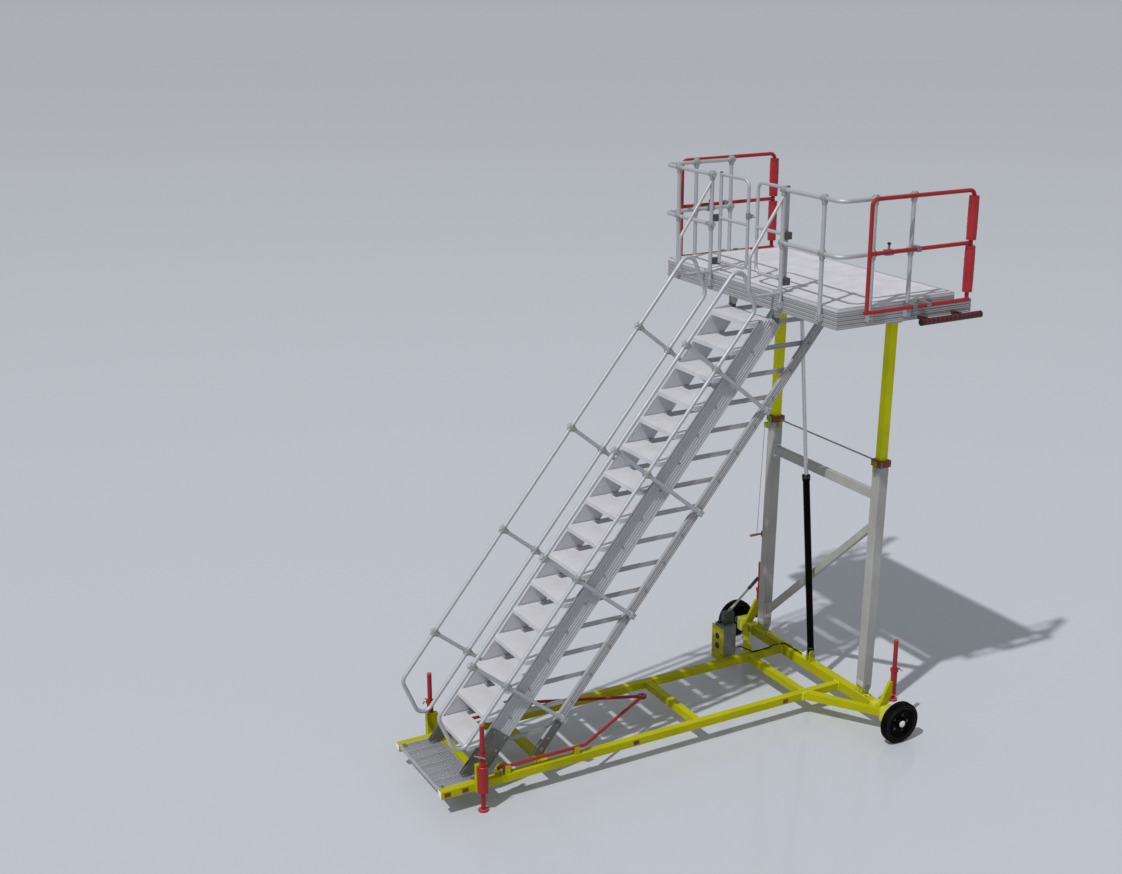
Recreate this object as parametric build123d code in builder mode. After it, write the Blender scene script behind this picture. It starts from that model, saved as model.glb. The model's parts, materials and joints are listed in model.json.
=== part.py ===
"""Variable-height access platform: a self-levelling stair and deck on a towed chassis.

Millimetres, +X from the stair's foot to the platform, +Y to the left, +Z up,
origin on the floor under the middle of the machine.
"""
import os
from math import cos, radians, sin

from build123d import *

os.makedirs("parts", exist_ok=True)

# Running fits: a turning face, a pin in its eye, a tube in its sleeve
face_gap = 0.3
pin_gap = 0.1
slide_gap = 0.4

# Stair: slope at rest, pivots of the stringers and, behind them, of the lower beams
slope = 50.68
stair_length = 5415.0
foot_setback = 480.0
foot_z = 360.0
beam_setback = 700.0
stringer_depth = 240.0
stringer_inner_y = 360.0
stringer_thickness = 40.0
rib_count = 7
rib_pitch = 30.0
groove_width = 16.0
groove_depth = 6.0
foot_cut = 150.0
head_cut = 72.0
head_slant = 105.0
beam_depth = 95.0
beam_foot_cut = 90.0
beam_groove_offset = 21.0
stringer_plate_half = 101.0
beam_plate_half = 38.0
fish_plate = 8.0
stringer_fish_end = 400.0
beam_fish_end = 330.0
foot_rise = 30.0

# Steps, each on two level arms
step_count = 16
first_step = 231.0
last_step_gap = 121.5
tread_overhang = 238.0
tread_depth = 304.0
tread_half = 342.0
tread_thickness = 30.0
nosing_height = 46.0
nosing_width = 28.0
tread_above_pivot = 25.0
arm_height = 50.0
arm_thickness = 8.0
boss_radius = 15.0

# Pivots: a tongue or lug between two plates on a pin
tongue = 12.0
fork_gap = 2.0
fork_plate = 12.0
pin_radius = 15.0
pin_proud = 4.0
stringer_eye = 50.0
beam_eye = 42.0

# Handrails carried by the lower beams
tube_radius = 21.0
handrail_outset = 45.0
knee_rail_height = 290.0
hand_rail_height = 760.0
handrail_front = 235.0
handrail_overrun = 125.0
handrail_lean = 250.0
handrail_bend = 100.0
post_count = 4
first_post = 823.0
last_post_gap = 842.0
knuckle_radius = 28.0
knuckle_length = 78.0
beam_clamp = 64.0

# Chassis of square tube
rail_size = 80.0
rail_outer_y = 570.0
rail_top = 280.0
rail_cap = 10.0
brace_member_lead = 505.0
middle_member_lead = 1890.0

# Axle beam and wheels
axle_behind_head = 979.0
axle_beam_width = 100.0
axle_beam_height = 120.0
axle_beam_top = 300.0
axle_beam_half = 1380.0
brace_inset = 90.0
brace_width = 80.0
brace_end_width = 96.0
tube_corner = 8.0
wheel_radius = 228.6
wheel_outset = 140.0
tyre_width = 90.0
tyre_shoulder = 16.0
tyre_bead = 16.0
rim_radius = 150.0
rim_width = 60.0
rim_taper = 22.0
disc_thickness = 22.0
hub_radius = 45.0
hub_width = 96.0
hub_taper = 14.0
stub_radius = 20.0
stub_flange = 20.0

# Deck
deck_above_pivot = 271.0
deck_overhang = 118.0
deck_length = 1507.0
deck_wide_length = 1077.0
deck_half = 1486.0
deck_narrowing = 66.0
deck_thickness = 25.0
fascia_depth = 175.0
fascia_thickness = 40.0
fascia_grooves = (35.0, 75.0, 115.0)
side_beam_reach = 1672.0
side_beam_height = 127.0
side_beam_grooves = (26.0, 74.0)
bearer_width = 60.0
bearer_depth = 100.0

# Guardrails, gates and sliding guards
guard_height = 1020.0
knee_height = 500.0
post_offset = 25.0
gate_post_y = 620.0
front_post_inset = 236.0
side_post_reaches = (365.0, 827.0)
corner_bend = 90.0
post_foot = 150.0
clamp_height = 70.0
clamp_width = 56.0
transition_radius = 17.0
transition_reach = 380.0
transition_knee = 400.0
transition_top = 960.0
transition_foot = 0.0
gate_radius = 17.0
gate_upright_radius = 18.5
gate_setback = 82.0
gate_hinge_inset = 45.0
gate_free_y = 80.0
gate_foot = 110.0
gate_bend = 80.0
hinge_block = 70.0
guard_radius = 20.0
guard_outset = 124.0
guard_front_reach = 247.0
guard_rear_inset = 20.0
guard_drop = 35.0
guard_span = 1070.0
guard_mid_rise = 560.0
guard_bend = 60.0
tube_stub = 5.0
pad_radius = 48.0
pad_spans = ((80.0, 530.0), (590.0, 1015.0))
guide_length = 50.0
guide_size = 52.0
lock_reach = 557.0
lock_length = 90.0
lock_size = 52.0
lock_knob_radius = 11.0
lock_knob_height = 80.0
guide_rear_reach = 997.0
bumper_radius = 34.0
bumper_outset = 114.0
bumper_length = 760.0
bumper_overhang = 190.0
bumper_drop = 205.0
bumper_arm_reaches = (1007.0, 1437.0)
bumper_arm = 36.0

# Telescopic legs and lift cylinder
leg_y = 923.0
leg_foot_lead = 5.0
leg_foot_z = 400.0
leg_head_reach = 1167.0
leg_head_drop = 295.0
leg_outer = 120.0
leg_inner = 90.0
leg_inner_corner = 6.0
leg_foot_cut = 70.0
leg_collar = 2520.0
leg_overlap = 560.0
leg_cap = 35.0
leg_eye = 45.0
leg_end_plate = 30.0
cheek_gap = 5.0
cheek_half = 80.0
tie_height = 2185.0
tie_depth = 100.0
tie_width = 60.0
diagonal_low = 190.0
diagonal_high = 1835.0
diagonal_depth = 100.0
collar_size = 146.0
collar_height = 70.0
lock_rod_radius = 9.0
cable_radius = 5.0
cable_offset = 45.0
lock_handle_height = 1100.0
lock_handle_reach = 190.0
lock_handle_width = 20.0
lock_handle_thickness = 15.0
lock_bracket_width = 48.0
ram_foot_lead = 17.0
ram_foot_z = 400.0
ram_head_reach = 727.0
ram_head_drop = 325.0
barrel_radius = 38.0
barrel_foot = 60.0
barrel_length = 2190.0
gland_length = 60.0
gland_radius = 44.0
rod_radius = 22.0
rod_overlap = 480.0
ram_eye = 40.0
ram_tongue = 30.0

# Jacks: place, sleeve and leg heights; front pair on the floor, rear pair raised
jack_radius = 24.0
jack_sleeve_radius = 34.0
jack_wide_radius = 54.0
jack_collar_radius = 44.0
jack_collar_height = 28.0
jack_pad_radius = 52.0
jack_pad_height = 14.0
front_jack_setback = 420.0
front_jack_outset = 60.0
front_jack_top = 930.0
front_sleeve_low = 205.0
front_wide_high = 480.0
front_sleeve_high = 628.0
front_bracket_high = 500.0
front_bracket_half = 60.0
rear_jack_behind = 140.0
rear_jack_inset = 145.0
rear_jack_foot = 330.0
rear_jack_top = 1030.0
rear_sleeve_low = 400.0
rear_sleeve_high = 700.0
rear_bracket_width = 36.0
rear_bracket_rise = 40.0
rear_bracket_high = 560.0
rear_bracket_tip = 60.0

# Entry grating between the rail ends
grating_gap = 52.0
grating_thickness = 40.0
grating_frame = 12.0
grating_bars = 16
grating_bar = 5.0
grating_rods = 5
grating_rod = 8.0

# Tow bar stowed on the rails
tow_radius = 17.0
tow_z = 352.0
tow_foot_setback = 630.0
tow_bend_setback = 1620.0
tow_eye_setback = 2620.0
tow_eye_z = 410.0
tow_eye_radius = 46.0
tow_eye_bore = 20.0
tow_eye_height = 34.0
tow_bend = 120.0
tow_pin_radius = 11.0
tow_rest_width = 52.0
tow_lug_radius = 78.0
tow_lug_behind = 60.0
tow_lug_rise = 30.0
tow_lug_plate = 12.0

# Hand pump on the left rail and its hose to the cylinder
pump_lead = 742.0
pump_length = 175.0
pump_depth = 190.0
pump_corner = 15.0
pump_tank_height = 375.0
pump_low = 286.0
pump_bracket_plate = 12.0
pump_bracket_reach = 220.0
pump_bracket_low = 215.0
pump_bracket_high = 640.0
pump_head_height = 130.0
pump_head_length = 130.0
pump_head_width = 80.0
lever_reach = 415.0
lever_rise = 350.0
lever_radius = 13.0
grip_radius = 19.0
grip_length = 170.0
hose_radius = 7.0
hose_bend = 60.0
hose_climb = 90.0
hose_port_rise = 60.0
hose_lead_out = 100.0
hose_drop = 110.0

# The stair's two directions in the side view
slope_cos = cos(radians(slope))
slope_sin = sin(radians(slope))
along = Vector(slope_cos, 0, slope_sin)
across = Vector(-slope_sin, 0, slope_cos)

# Places along the machine, from the rails' front ends to the bumpers' rear ends
stair_run = stair_length * slope_cos
overall_length = foot_setback + stair_run - deck_overhang + deck_length + bumper_overhang
front_x = -overall_length / 2
foot_x = front_x + foot_setback
beam_foot_x = foot_x + beam_setback
head_x = foot_x + stair_run
beam_head_x = head_x + beam_setback
deck_front_x = head_x - deck_overhang
deck_step_x = deck_front_x + deck_wide_length
deck_rear_x = deck_front_x + deck_length
axle_x = head_x + axle_behind_head
axle_front_x = axle_x - axle_beam_width / 2
side_beam_rear_x = deck_front_x + side_beam_reach
side_posts_x = [deck_front_x + reach for reach in side_post_reaches]
brace_member_x = axle_x - brace_member_lead
middle_member_x = axle_x - middle_member_lead
leg_foot_x = axle_x - leg_foot_lead
leg_head_x = deck_front_x + leg_head_reach
ram_foot_x = axle_x - ram_foot_lead
ram_head_x = deck_front_x + ram_head_reach
front_jack_x = front_x + front_jack_setback
rear_jack_x = axle_x + rear_jack_behind
tow_front_x = front_x + tow_foot_setback
tow_bend_x = front_x + tow_bend_setback
tow_eye_x = front_x + tow_eye_setback
pump_x = axle_x - pump_lead
pump_front_x = pump_x - pump_length / 2
pump_rear_x = pump_x + pump_length / 2

# Places across the machine
rail_mid_y = rail_outer_y - rail_size / 2
rail_inner_y = rail_outer_y - rail_size
stringer_outer_y = stringer_inner_y + stringer_thickness
fork_mid_y = stringer_inner_y + stringer_thickness / 2
foot_cheek = (stringer_thickness - tongue) / 2 - fork_gap
leg_bore = leg_inner + 2 * slide_gap
handrail_y = stringer_outer_y + handrail_outset
wheel_y = axle_beam_half + wheel_outset
brace_reach = axle_beam_half - brace_inset
front_jack_y = rail_outer_y + front_jack_outset
rear_jack_y = axle_beam_half - rear_jack_inset
deck_rear_half = deck_half - deck_narrowing

# Heights
rail_mid_z = rail_top - rail_size / 2
head_z = foot_z + stair_length * slope_sin
deck_top = head_z + deck_above_pivot
deck_low = deck_top - deck_thickness
leg_head_z = deck_low - leg_head_drop
ram_head_z = deck_low - ram_head_drop

# Places up the slope
step_pitch = (stair_length - first_step - last_step_gap) / (step_count - 1)
step_places = [first_step + number * step_pitch for number in range(step_count)]
post_pitch = (stair_length - first_post - last_post_gap) / (post_count - 1)
post_places = [first_post + number * post_pitch for number in range(post_count)]


def side_plane(y, x=0.0, z=0.0):
    """Upright plane at a place across the machine: local x forward to rear, local y up."""
    return Plane(origin=(x, y, z), x_dir=(1, 0, 0), z_dir=(0, -1, 0))


def stair_plane(y, x=foot_x):
    """Upright plane turned to the slope, its origin on a foot pivot."""
    return Plane(origin=(x, y, foot_z), x_dir=along, z_dir=(0, -1, 0))


def stair_point(s, p, y, x=foot_x):
    """Point at s up the slope and p square to it from a foot pivot."""
    return Vector(x, y, foot_z) + along * s + across * p


def round_bar(start, end, radius):
    """Straight round bar between two points."""
    run = Vector(*end) - Vector(*start)
    with BuildPart() as bar:
        with BuildSketch(Plane(origin=start, z_dir=run)):
            Circle(radius)
        extrude(amount=run.length)
    return bar.part


def bent_bar(points, radius, bend, close=False):
    """Round bar along straight runs with bent corners."""
    with BuildPart() as bar:
        with BuildLine() as path:
            FilletPolyline(*points, radius=bend, close=close)
        with BuildSketch(Plane(origin=path.line @ 0, z_dir=path.line % 0)):
            Circle(radius)
        sweep()
    return bar.part


def knuckle(place, rail_way, post_way):
    """Tube fitting: a sleeve along the rail and a sleeve along the post."""
    sleeves = [
        round_bar(place - way * knuckle_length / 2, place + way * knuckle_length / 2, knuckle_radius)
        for way in (rail_way, post_way)
    ]
    with BuildPart() as fitting:
        add(sleeves)
    return fitting.part


def fork(x, z, seat_z, mid_y, tongue_width, eye):
    """Two round-ended plates and their pin, standing on or hanging from a seat."""
    inside = tongue_width / 2 + fork_gap
    outside = inside + fork_plate
    with BuildPart() as lug:
        for y in (mid_y + outside, mid_y - inside):
            with BuildSketch(side_plane(y)):
                with Locations((x, (seat_z + z) / 2)):
                    Rectangle(2 * eye, abs(z - seat_z))
                with Locations((x, z)):
                    Circle(eye)
            extrude(amount=fork_plate)
        with BuildSketch(side_plane(mid_y + outside + pin_proud)):
            with Locations((x, z)):
                Circle(pin_radius)
        extrude(amount=2 * (outside + pin_proud))
    return lug.part


def lug(x, z, seat_z, mid_y, width, eye, cheek_low, cheek_high):
    """Round-ended plate standing on a seat, with a pin that reaches through the cheeks beside it."""
    with BuildPart() as plate:
        with BuildSketch(side_plane(mid_y + width / 2)):
            with Locations((x, (seat_z + z) / 2)):
                Rectangle(2 * eye, z - seat_z)
            with Locations((x, z)):
                Circle(eye)
        extrude(amount=width)
        with BuildSketch(side_plane(cheek_high + pin_proud)):
            with Locations((x, z)):
                Circle(pin_radius)
        extrude(amount=cheek_high - cheek_low + 2 * pin_proud)
    return plate.part


def foot_plates(x, depth, butt, lap):
    """Foot of a stair member: a cheek each side of the chassis lug, the outer one lapped up the member."""
    half = depth / 2
    low = rail_top + foot_rise - foot_z
    layers = (
        (lap, stringer_outer_y + fish_plate, fish_plate),
        (butt, stringer_outer_y, foot_cheek),
        (butt, stringer_inner_y + foot_cheek, foot_cheek),
    )
    with BuildPart() as plates:
        for end, outer_y, thickness in layers:
            with BuildSketch(stair_plane(outer_y, x)):
                with BuildLine():
                    Polyline(
                        ((low - half * slope_cos) / slope_sin, half),
                        (end, half),
                        (end, -half),
                        ((low + half * slope_cos) / slope_sin, -half),
                        close=True,
                    )
                make_face()
                Circle(pin_radius + pin_gap, mode=Mode.SUBTRACT)
            extrude(amount=thickness)
    return plates.part


def end_plate(x, s_eye, s_butt, low, high, eye):
    """Steel tongue on the end of a stair member: a tapered plate with a bored eye."""
    with BuildPart() as plate:
        with BuildSketch(stair_plane(fork_mid_y + tongue / 2, x)):
            with BuildLine():
                Polyline((s_eye, eye), (s_butt, high), (s_butt, low), (s_eye, -eye), close=True)
            make_face()
            with Locations((s_eye, 0)):
                Circle(eye)
                Circle(pin_radius + pin_gap, mode=Mode.SUBTRACT)
        extrude(amount=tongue)
    return plate.part


def grooved_member(x, depth, start, end, groove_places):
    """Extruded stair member on the left, grooved along its outer face, with step pivots."""
    with BuildPart() as member:
        with BuildSketch(stair_plane(stringer_outer_y, x)):
            with Locations(((start + end) / 2, 0)):
                Rectangle(end - start, depth)
        extrude(amount=stringer_thickness)
        with BuildSketch(stair_plane(stringer_outer_y, x)):
            with Locations([((start + end) / 2, place) for place in groove_places]):
                Rectangle(end - start, groove_width)
        extrude(amount=groove_depth, mode=Mode.SUBTRACT)
        with BuildSketch(stair_plane(stringer_inner_y, x)):
            with Locations([(place, 0) for place in step_places]):
                RegularPolygon(boss_radius, 6)
        extrude(amount=stringer_inner_y - tread_half - arm_thickness - face_gap)
    return member.part


def save(part, name):
    """Label a finished piece and write it."""
    part.label = name
    export_step(part, f"parts/{name}.step")


# Chassis rails and their end caps
with BuildPart() as long_rails:
    rail_length = axle_front_x - front_x - rail_cap
    with Locations((front_x + rail_cap, rail_inner_y, rail_top - rail_size)):
        Box(rail_length, rail_size, rail_size, align=(Align.MIN, Align.MIN, Align.MIN))
    with BuildSketch(Plane(origin=(front_x + rail_cap, rail_mid_y, rail_mid_z), z_dir=(-1, 0, 0))):
        RectangleRounded(rail_size, rail_size, rail_cap)
    extrude(amount=rail_cap)
    mirror(about=Plane.XZ)
save(long_rails.part, "long_rails")

# Cross members between the rails, and the braces out to the axle beam's ends
with BuildPart() as cross_members:
    for x in (foot_x, beam_foot_x, middle_member_x, brace_member_x):
        with Locations((x, 0, rail_mid_z)):
            Box(rail_size, 2 * rail_inner_y, rail_size)
    with BuildSketch(Plane.XY.offset(rail_top - rail_size)):
        with BuildLine():
            Polyline(
                (brace_member_x - brace_width / 2, rail_outer_y),
                (brace_member_x + brace_width, rail_outer_y),
                (axle_front_x, brace_reach - brace_end_width),
                (axle_front_x, brace_reach),
                close=True,
            )
        make_face()
    brace = extrude(amount=rail_size)
    mirror(brace, about=Plane.XZ)
save(cross_members.part, "cross_members")

# Axle beam
with BuildPart() as axle_beam:
    with BuildSketch(Plane.XZ.offset(-axle_beam_half)):
        with Locations((axle_x, axle_beam_top - axle_beam_height / 2)):
            RectangleRounded(axle_beam_width, axle_beam_height, tube_corner)
    extrude(amount=2 * axle_beam_half)
save(axle_beam.part, "axle_beam")

# Stub axles on the beam's ends, with the flange that backs each wheel
with BuildPart() as stub_axles:
    with BuildSketch(side_plane(wheel_y + hub_width / 2)):
        with Locations((axle_x, wheel_radius)):
            Circle(stub_radius)
    extrude(amount=wheel_y + hub_width / 2 - axle_beam_half)
    with BuildSketch(side_plane(wheel_y - hub_width / 2 - face_gap)):
        with Locations((axle_x, wheel_radius)):
            Circle(hub_radius)
    extrude(amount=stub_flange)
    mirror(about=Plane.XZ)
save(stub_axles.part, "stub_axles")


def wheel_turned(points, side):
    """Turn a half section, given as (distance out of the wheel's middle, radius), about the axle."""
    with BuildPart() as ring:
        middle = (axle_x, side * wheel_y, wheel_radius)
        with BuildSketch(Plane(origin=middle, x_dir=(0, side, 0), z_dir=(side, 0, 0))):
            with BuildLine():
                Polyline(*points, close=True)
            make_face()
        revolve(axis=Axis((axle_x, 0, wheel_radius), (0, 1, 0)))
    return ring.part


# Wheels: solid tyre with rounded shoulders on a dished disc with a hub
tyre_section = (
    (-rim_width / 2, rim_radius),
    (-tyre_width / 2, rim_radius + tyre_bead),
    (-tyre_width / 2, wheel_radius - tyre_shoulder),
    (-tyre_width / 2 + tyre_shoulder, wheel_radius),
    (tyre_width / 2 - tyre_shoulder, wheel_radius),
    (tyre_width / 2, wheel_radius - tyre_shoulder),
    (tyre_width / 2, rim_radius + tyre_bead),
    (rim_width / 2, rim_radius),
)
disc_section = (
    (-hub_width / 2, stub_radius + pin_gap),
    (-hub_width / 2, hub_radius),
    (-disc_thickness / 2, hub_radius + hub_taper),
    (-disc_thickness / 2, rim_radius - rim_taper),
    (-rim_width / 2, rim_radius),
    (rim_width / 2, rim_radius),
    (disc_thickness / 2, rim_radius - rim_taper),
    (disc_thickness / 2, hub_radius + hub_taper),
    (hub_width / 2, hub_radius),
    (hub_width / 2, stub_radius + pin_gap),
)
for name, side in (("left", 1), ("right", -1)):
    save(wheel_turned(tyre_section, side), f"tyre_{name}")
    save(wheel_turned(disc_section, side), f"wheel_disc_{name}")

# Entry grating: a frame between the rails, bearing bars across the machine and rods along it
grating_front_x = front_x + rail_cap
grating_rear_x = foot_x - grating_gap
grating_length = grating_rear_x - grating_front_x
grating_half = rail_inner_y
with BuildPart() as entry_grating:
    grating_mid = (grating_front_x + grating_rear_x) / 2
    with BuildSketch(Plane.XY.offset(rail_top - grating_thickness)):
        with Locations((grating_mid, 0)):
            Rectangle(grating_length, 2 * grating_half)
            Rectangle(
                grating_length - 2 * grating_frame,
                2 * (grating_half - grating_frame),
                mode=Mode.SUBTRACT,
            )
            with GridLocations(grating_length / (grating_bars + 1), 0, grating_bars, 1):
                Rectangle(grating_bar, 2 * grating_half)
            with GridLocations(0, 2 * grating_half / (grating_rods + 1), 1, grating_rods):
                Rectangle(grating_length, grating_rod)
    extrude(amount=grating_thickness)
save(entry_grating.part, "entry_grating")

# Pivots on the chassis: lugs for stair feet, beam feet and leg feet, and the cylinder's fork
stair_lugs = [
    lug(x, foot_z, rail_top, fork_mid_y, tongue, eye, stringer_inner_y, stringer_outer_y + fish_plate)
    for x, eye in ((foot_x, stringer_eye), (beam_foot_x, beam_eye))
]
leg_lug = lug(
    leg_foot_x,
    leg_foot_z,
    axle_beam_top,
    leg_y,
    leg_bore - 2 * cheek_gap,
    leg_eye,
    leg_y - leg_outer / 2,
    leg_y + leg_outer / 2,
)
ram_fork = fork(ram_foot_x, ram_foot_z, axle_beam_top, 0, ram_tongue, ram_eye)
with BuildPart() as pivot_forks:
    add(stair_lugs)
    add(leg_lug)
    mirror(about=Plane.XZ)
    add(ram_fork)
save(pivot_forks.part, "pivot_forks")


# Jacks
def jack_sleeve(x, y, bands):
    """Clamp sleeve round a jack leg, from bands given as (low, high, radius)."""
    with BuildPart() as sleeve:
        for low, high, radius in bands:
            with BuildSketch(Plane.XY.offset(low)):
                with Locations((x, y)):
                    Circle(radius)
                    Circle(jack_radius + slide_gap, mode=Mode.SUBTRACT)
            extrude(amount=high - low)
    return sleeve.part


def jack_leg(x, y, low, high):
    """Jack leg with a round pad and a domed top."""
    with BuildPart() as leg:
        with BuildSketch(Plane.XY.offset(low)):
            with Locations((x, y)):
                Circle(jack_pad_radius)
        extrude(amount=jack_pad_height)
        with BuildSketch(Plane.XY.offset(low)):
            with Locations((x, y)):
                Circle(jack_radius)
        extrude(amount=high - low)
        chamfer(leg.faces().sort_by(Axis.Z)[-1].edges(), length=jack_radius / 3)
    return leg.part


front_collar_low = front_sleeve_high - jack_collar_height
rear_collar_low = rear_sleeve_high - jack_collar_height
front_bands = (
    (front_sleeve_low, front_wide_high, jack_wide_radius),
    (front_wide_high, front_collar_low, jack_sleeve_radius),
    (front_collar_low, front_sleeve_high, jack_collar_radius),
)
rear_bands = (
    (rear_sleeve_low, rear_collar_low, jack_sleeve_radius),
    (rear_collar_low, rear_sleeve_high, jack_collar_radius),
)
front_sleeve = jack_sleeve(front_jack_x, front_jack_y, front_bands)
rear_sleeve = jack_sleeve(rear_jack_x, rear_jack_y, rear_bands)
with BuildPart() as jack_sleeves:
    add(front_sleeve)
    add(rear_sleeve)
    mirror(about=Plane.XZ)
save(jack_sleeves.part, "jack_sleeves")

for name, side in (("left", 1), ("right", -1)):
    front_leg = jack_leg(front_jack_x, side * front_jack_y, 0, front_jack_top)
    rear_leg = jack_leg(rear_jack_x, side * rear_jack_y, rear_jack_foot, rear_jack_top)
    save(front_leg, f"jack_front_{name}")
    save(rear_leg, f"jack_rear_{name}")

# Yellow brackets: jack plates on the rails, leaning arms on the axle beam, tow bar rests, pump bracket
tow_arm = bent_bar(
    (
        (tow_front_x, rail_mid_y, tow_z),
        (tow_bend_x, rail_mid_y, tow_z),
        (tow_eye_x, 0, tow_eye_z),
    ),
    tow_radius,
    tow_bend,
)
with BuildPart() as chassis_brackets:
    with Locations((front_jack_x, rail_outer_y, rail_top - rail_size)):
        Box(
            2 * front_bracket_half,
            front_jack_y - rail_outer_y - jack_sleeve_radius / 2,
            front_bracket_high - rail_top + rail_size,
            align=(Align.CENTER, Align.MIN, Align.MIN),
        )
    with BuildSketch(side_plane(rear_jack_y + rear_bracket_width / 2)):
        with BuildLine():
            Polyline(
                (axle_x - axle_beam_width / 2, axle_beam_top),
                (axle_x + axle_beam_width / 2, axle_beam_top),
                (rear_jack_x, rear_sleeve_low + rear_bracket_rise),
                (rear_jack_x, rear_bracket_high),
                (rear_jack_x - rear_bracket_tip, rear_bracket_high),
                close=True,
            )
        make_face()
    extrude(amount=rear_bracket_width)
    for x in (tow_front_x + 2 * tow_rest_width, tow_bend_x - 2 * tow_rest_width):
        with Locations((x, rail_mid_y, rail_top)):
            Box(
                tow_rest_width,
                tow_rest_width,
                tow_z + tow_radius / 2 - rail_top,
                align=(Align.CENTER, Align.CENTER, Align.MIN),
            )
    with BuildSketch(side_plane(rail_inner_y + tow_lug_plate)):
        tow_lug_x = tow_front_x + tow_lug_behind
        with Locations((tow_lug_x, rail_top)):
            Rectangle(2 * tow_lug_radius, tow_lug_rise, align=(Align.CENTER, Align.MIN))
        with Locations((tow_lug_x, rail_top + tow_lug_rise)):
            Circle(tow_lug_radius)
        with Locations((tow_lug_x, rail_top)):
            Rectangle(
                2 * tow_lug_radius,
                2 * tow_lug_radius,
                align=(Align.CENTER, Align.MAX),
                mode=Mode.SUBTRACT,
            )
    extrude(amount=tow_lug_plate)
    add(front_sleeve, mode=Mode.SUBTRACT)
    add(rear_sleeve, mode=Mode.SUBTRACT)
    for x, y in ((front_jack_x, front_jack_y), (rear_jack_x, rear_jack_y)):
        with Locations((x, y, 0)):
            Cylinder(
                jack_sleeve_radius,
                rear_jack_top,
                align=(Align.CENTER, Align.CENTER, Align.MIN),
                mode=Mode.SUBTRACT,
            )
    add(tow_arm, mode=Mode.SUBTRACT)
    mirror(about=Plane.XZ)
    with Locations((pump_front_x, rail_outer_y, pump_bracket_low)):
        Box(
            pump_bracket_plate,
            pump_bracket_reach,
            pump_bracket_high - pump_bracket_low,
            align=(Align.MAX, Align.MIN, Align.MIN),
        )
    with Locations((pump_front_x, rail_outer_y, pump_low)):
        Box(pump_length, pump_depth, pump_bracket_plate, align=(Align.MIN, Align.MIN, Align.MAX))
save(chassis_brackets.part, "chassis_brackets")

# Tow bar: two bent arms that meet at the towing eye, with a cross pin at each foot
tow_eye_low = tow_eye_z - tow_eye_height / 2
with BuildPart() as tow_bar:
    add(tow_arm)
    with BuildSketch(side_plane(rail_outer_y)):
        with Locations((tow_front_x + tow_radius, tow_z)):
            Circle(tow_pin_radius)
    extrude(amount=rail_size - tow_lug_plate)
    mirror(about=Plane.XZ)
    with BuildSketch(Plane.XY.offset(tow_eye_low)):
        with Locations((tow_eye_x, 0)):
            Circle(tow_eye_radius)
    extrude(amount=tow_eye_height)
    with BuildSketch(Plane.XY.offset(tow_eye_low - tow_radius)):
        with Locations((tow_eye_x, 0)):
            Circle(tow_eye_bore)
    extrude(amount=tow_eye_height + 2 * tow_radius, mode=Mode.SUBTRACT)
save(tow_bar.part, "tow_bar")

# Hand pump: tank, head and lever with its grip
pump_head_x = pump_rear_x - pump_head_length / 2
pump_mid_y = rail_outer_y + pump_depth / 2
pump_high = pump_low + pump_tank_height
lever_foot = (pump_head_x, pump_mid_y, pump_high + pump_head_height)
lever_head = (lever_foot[0] + lever_reach, lever_foot[1], lever_foot[2] + lever_rise)
lever = round_bar(lever_foot, lever_head, lever_radius)
lever_run = (Vector(*lever_head) - Vector(*lever_foot)).normalized()
grip = round_bar(lever_head, Vector(*lever_head) + lever_run * -grip_length, grip_radius)
with BuildPart() as hand_pump:
    with BuildSketch(Plane.XY.offset(pump_low)):
        with Locations((pump_x, pump_mid_y)):
            RectangleRounded(pump_length, pump_depth, pump_corner)
    extrude(amount=pump_tank_height)
    with Locations((pump_head_x, pump_mid_y, pump_high)):
        Box(
            pump_head_length,
            pump_head_width,
            pump_head_height + lever_radius,
            align=(Align.CENTER, Align.CENTER, Align.MIN),
        )
    add(lever)
    add(grip)
save(hand_pump.part, "hand_pump")

# Hose from the pump's tank down to the left rail, and along it and the axle beam to the cylinder's foot
hose_z = rail_top + hose_radius + face_gap
hose_beam_z = axle_beam_top + hose_radius + face_gap
hose_port_y = rail_outer_y + pump_depth / 4
hose_port_z = pump_low + hose_port_rise
hose_points = (
    (pump_rear_x, hose_port_y, hose_port_z),
    (pump_rear_x + hose_lead_out, hose_port_y, hose_port_z),
    (pump_rear_x + hose_lead_out + hose_drop, rail_mid_y, hose_z),
    (axle_front_x - 2 * hose_climb, rail_mid_y, hose_z),
    (axle_front_x - hose_climb, rail_mid_y, hose_beam_z),
    (axle_x, rail_mid_y, hose_beam_z),
    (axle_x, ram_tongue / 2 + fork_gap + fork_plate + 2 * pin_proud, hose_beam_z),
)
hydraulic_hose = bent_bar(hose_points, hose_radius, hose_bend)
save(hydraulic_hose, "hydraulic_hose")

# Stringers: grooved extrusions with a slanted head that clears the deck
stringer_end = stair_length - head_cut
slant_low = stringer_depth / 2 - head_slant
groove_places = [rib_pitch * (number - (rib_count - 1) / 2) for number in range(rib_count)]
left_stringer = grooved_member(foot_x, stringer_depth, foot_cut, stringer_end, groove_places)
with BuildPart() as stringers:
    add(left_stringer)
    with BuildSketch(stair_plane(stringer_outer_y)):
        with BuildLine():
            Polyline(
                (stringer_end, slant_low),
                (stringer_end, stringer_depth / 2),
                (stringer_end - head_slant, stringer_depth / 2),
                close=True,
            )
        make_face()
    extrude(amount=stringer_thickness, mode=Mode.SUBTRACT)
    mirror(about=Plane.XZ)
save(stringers.part, "stringers")

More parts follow.
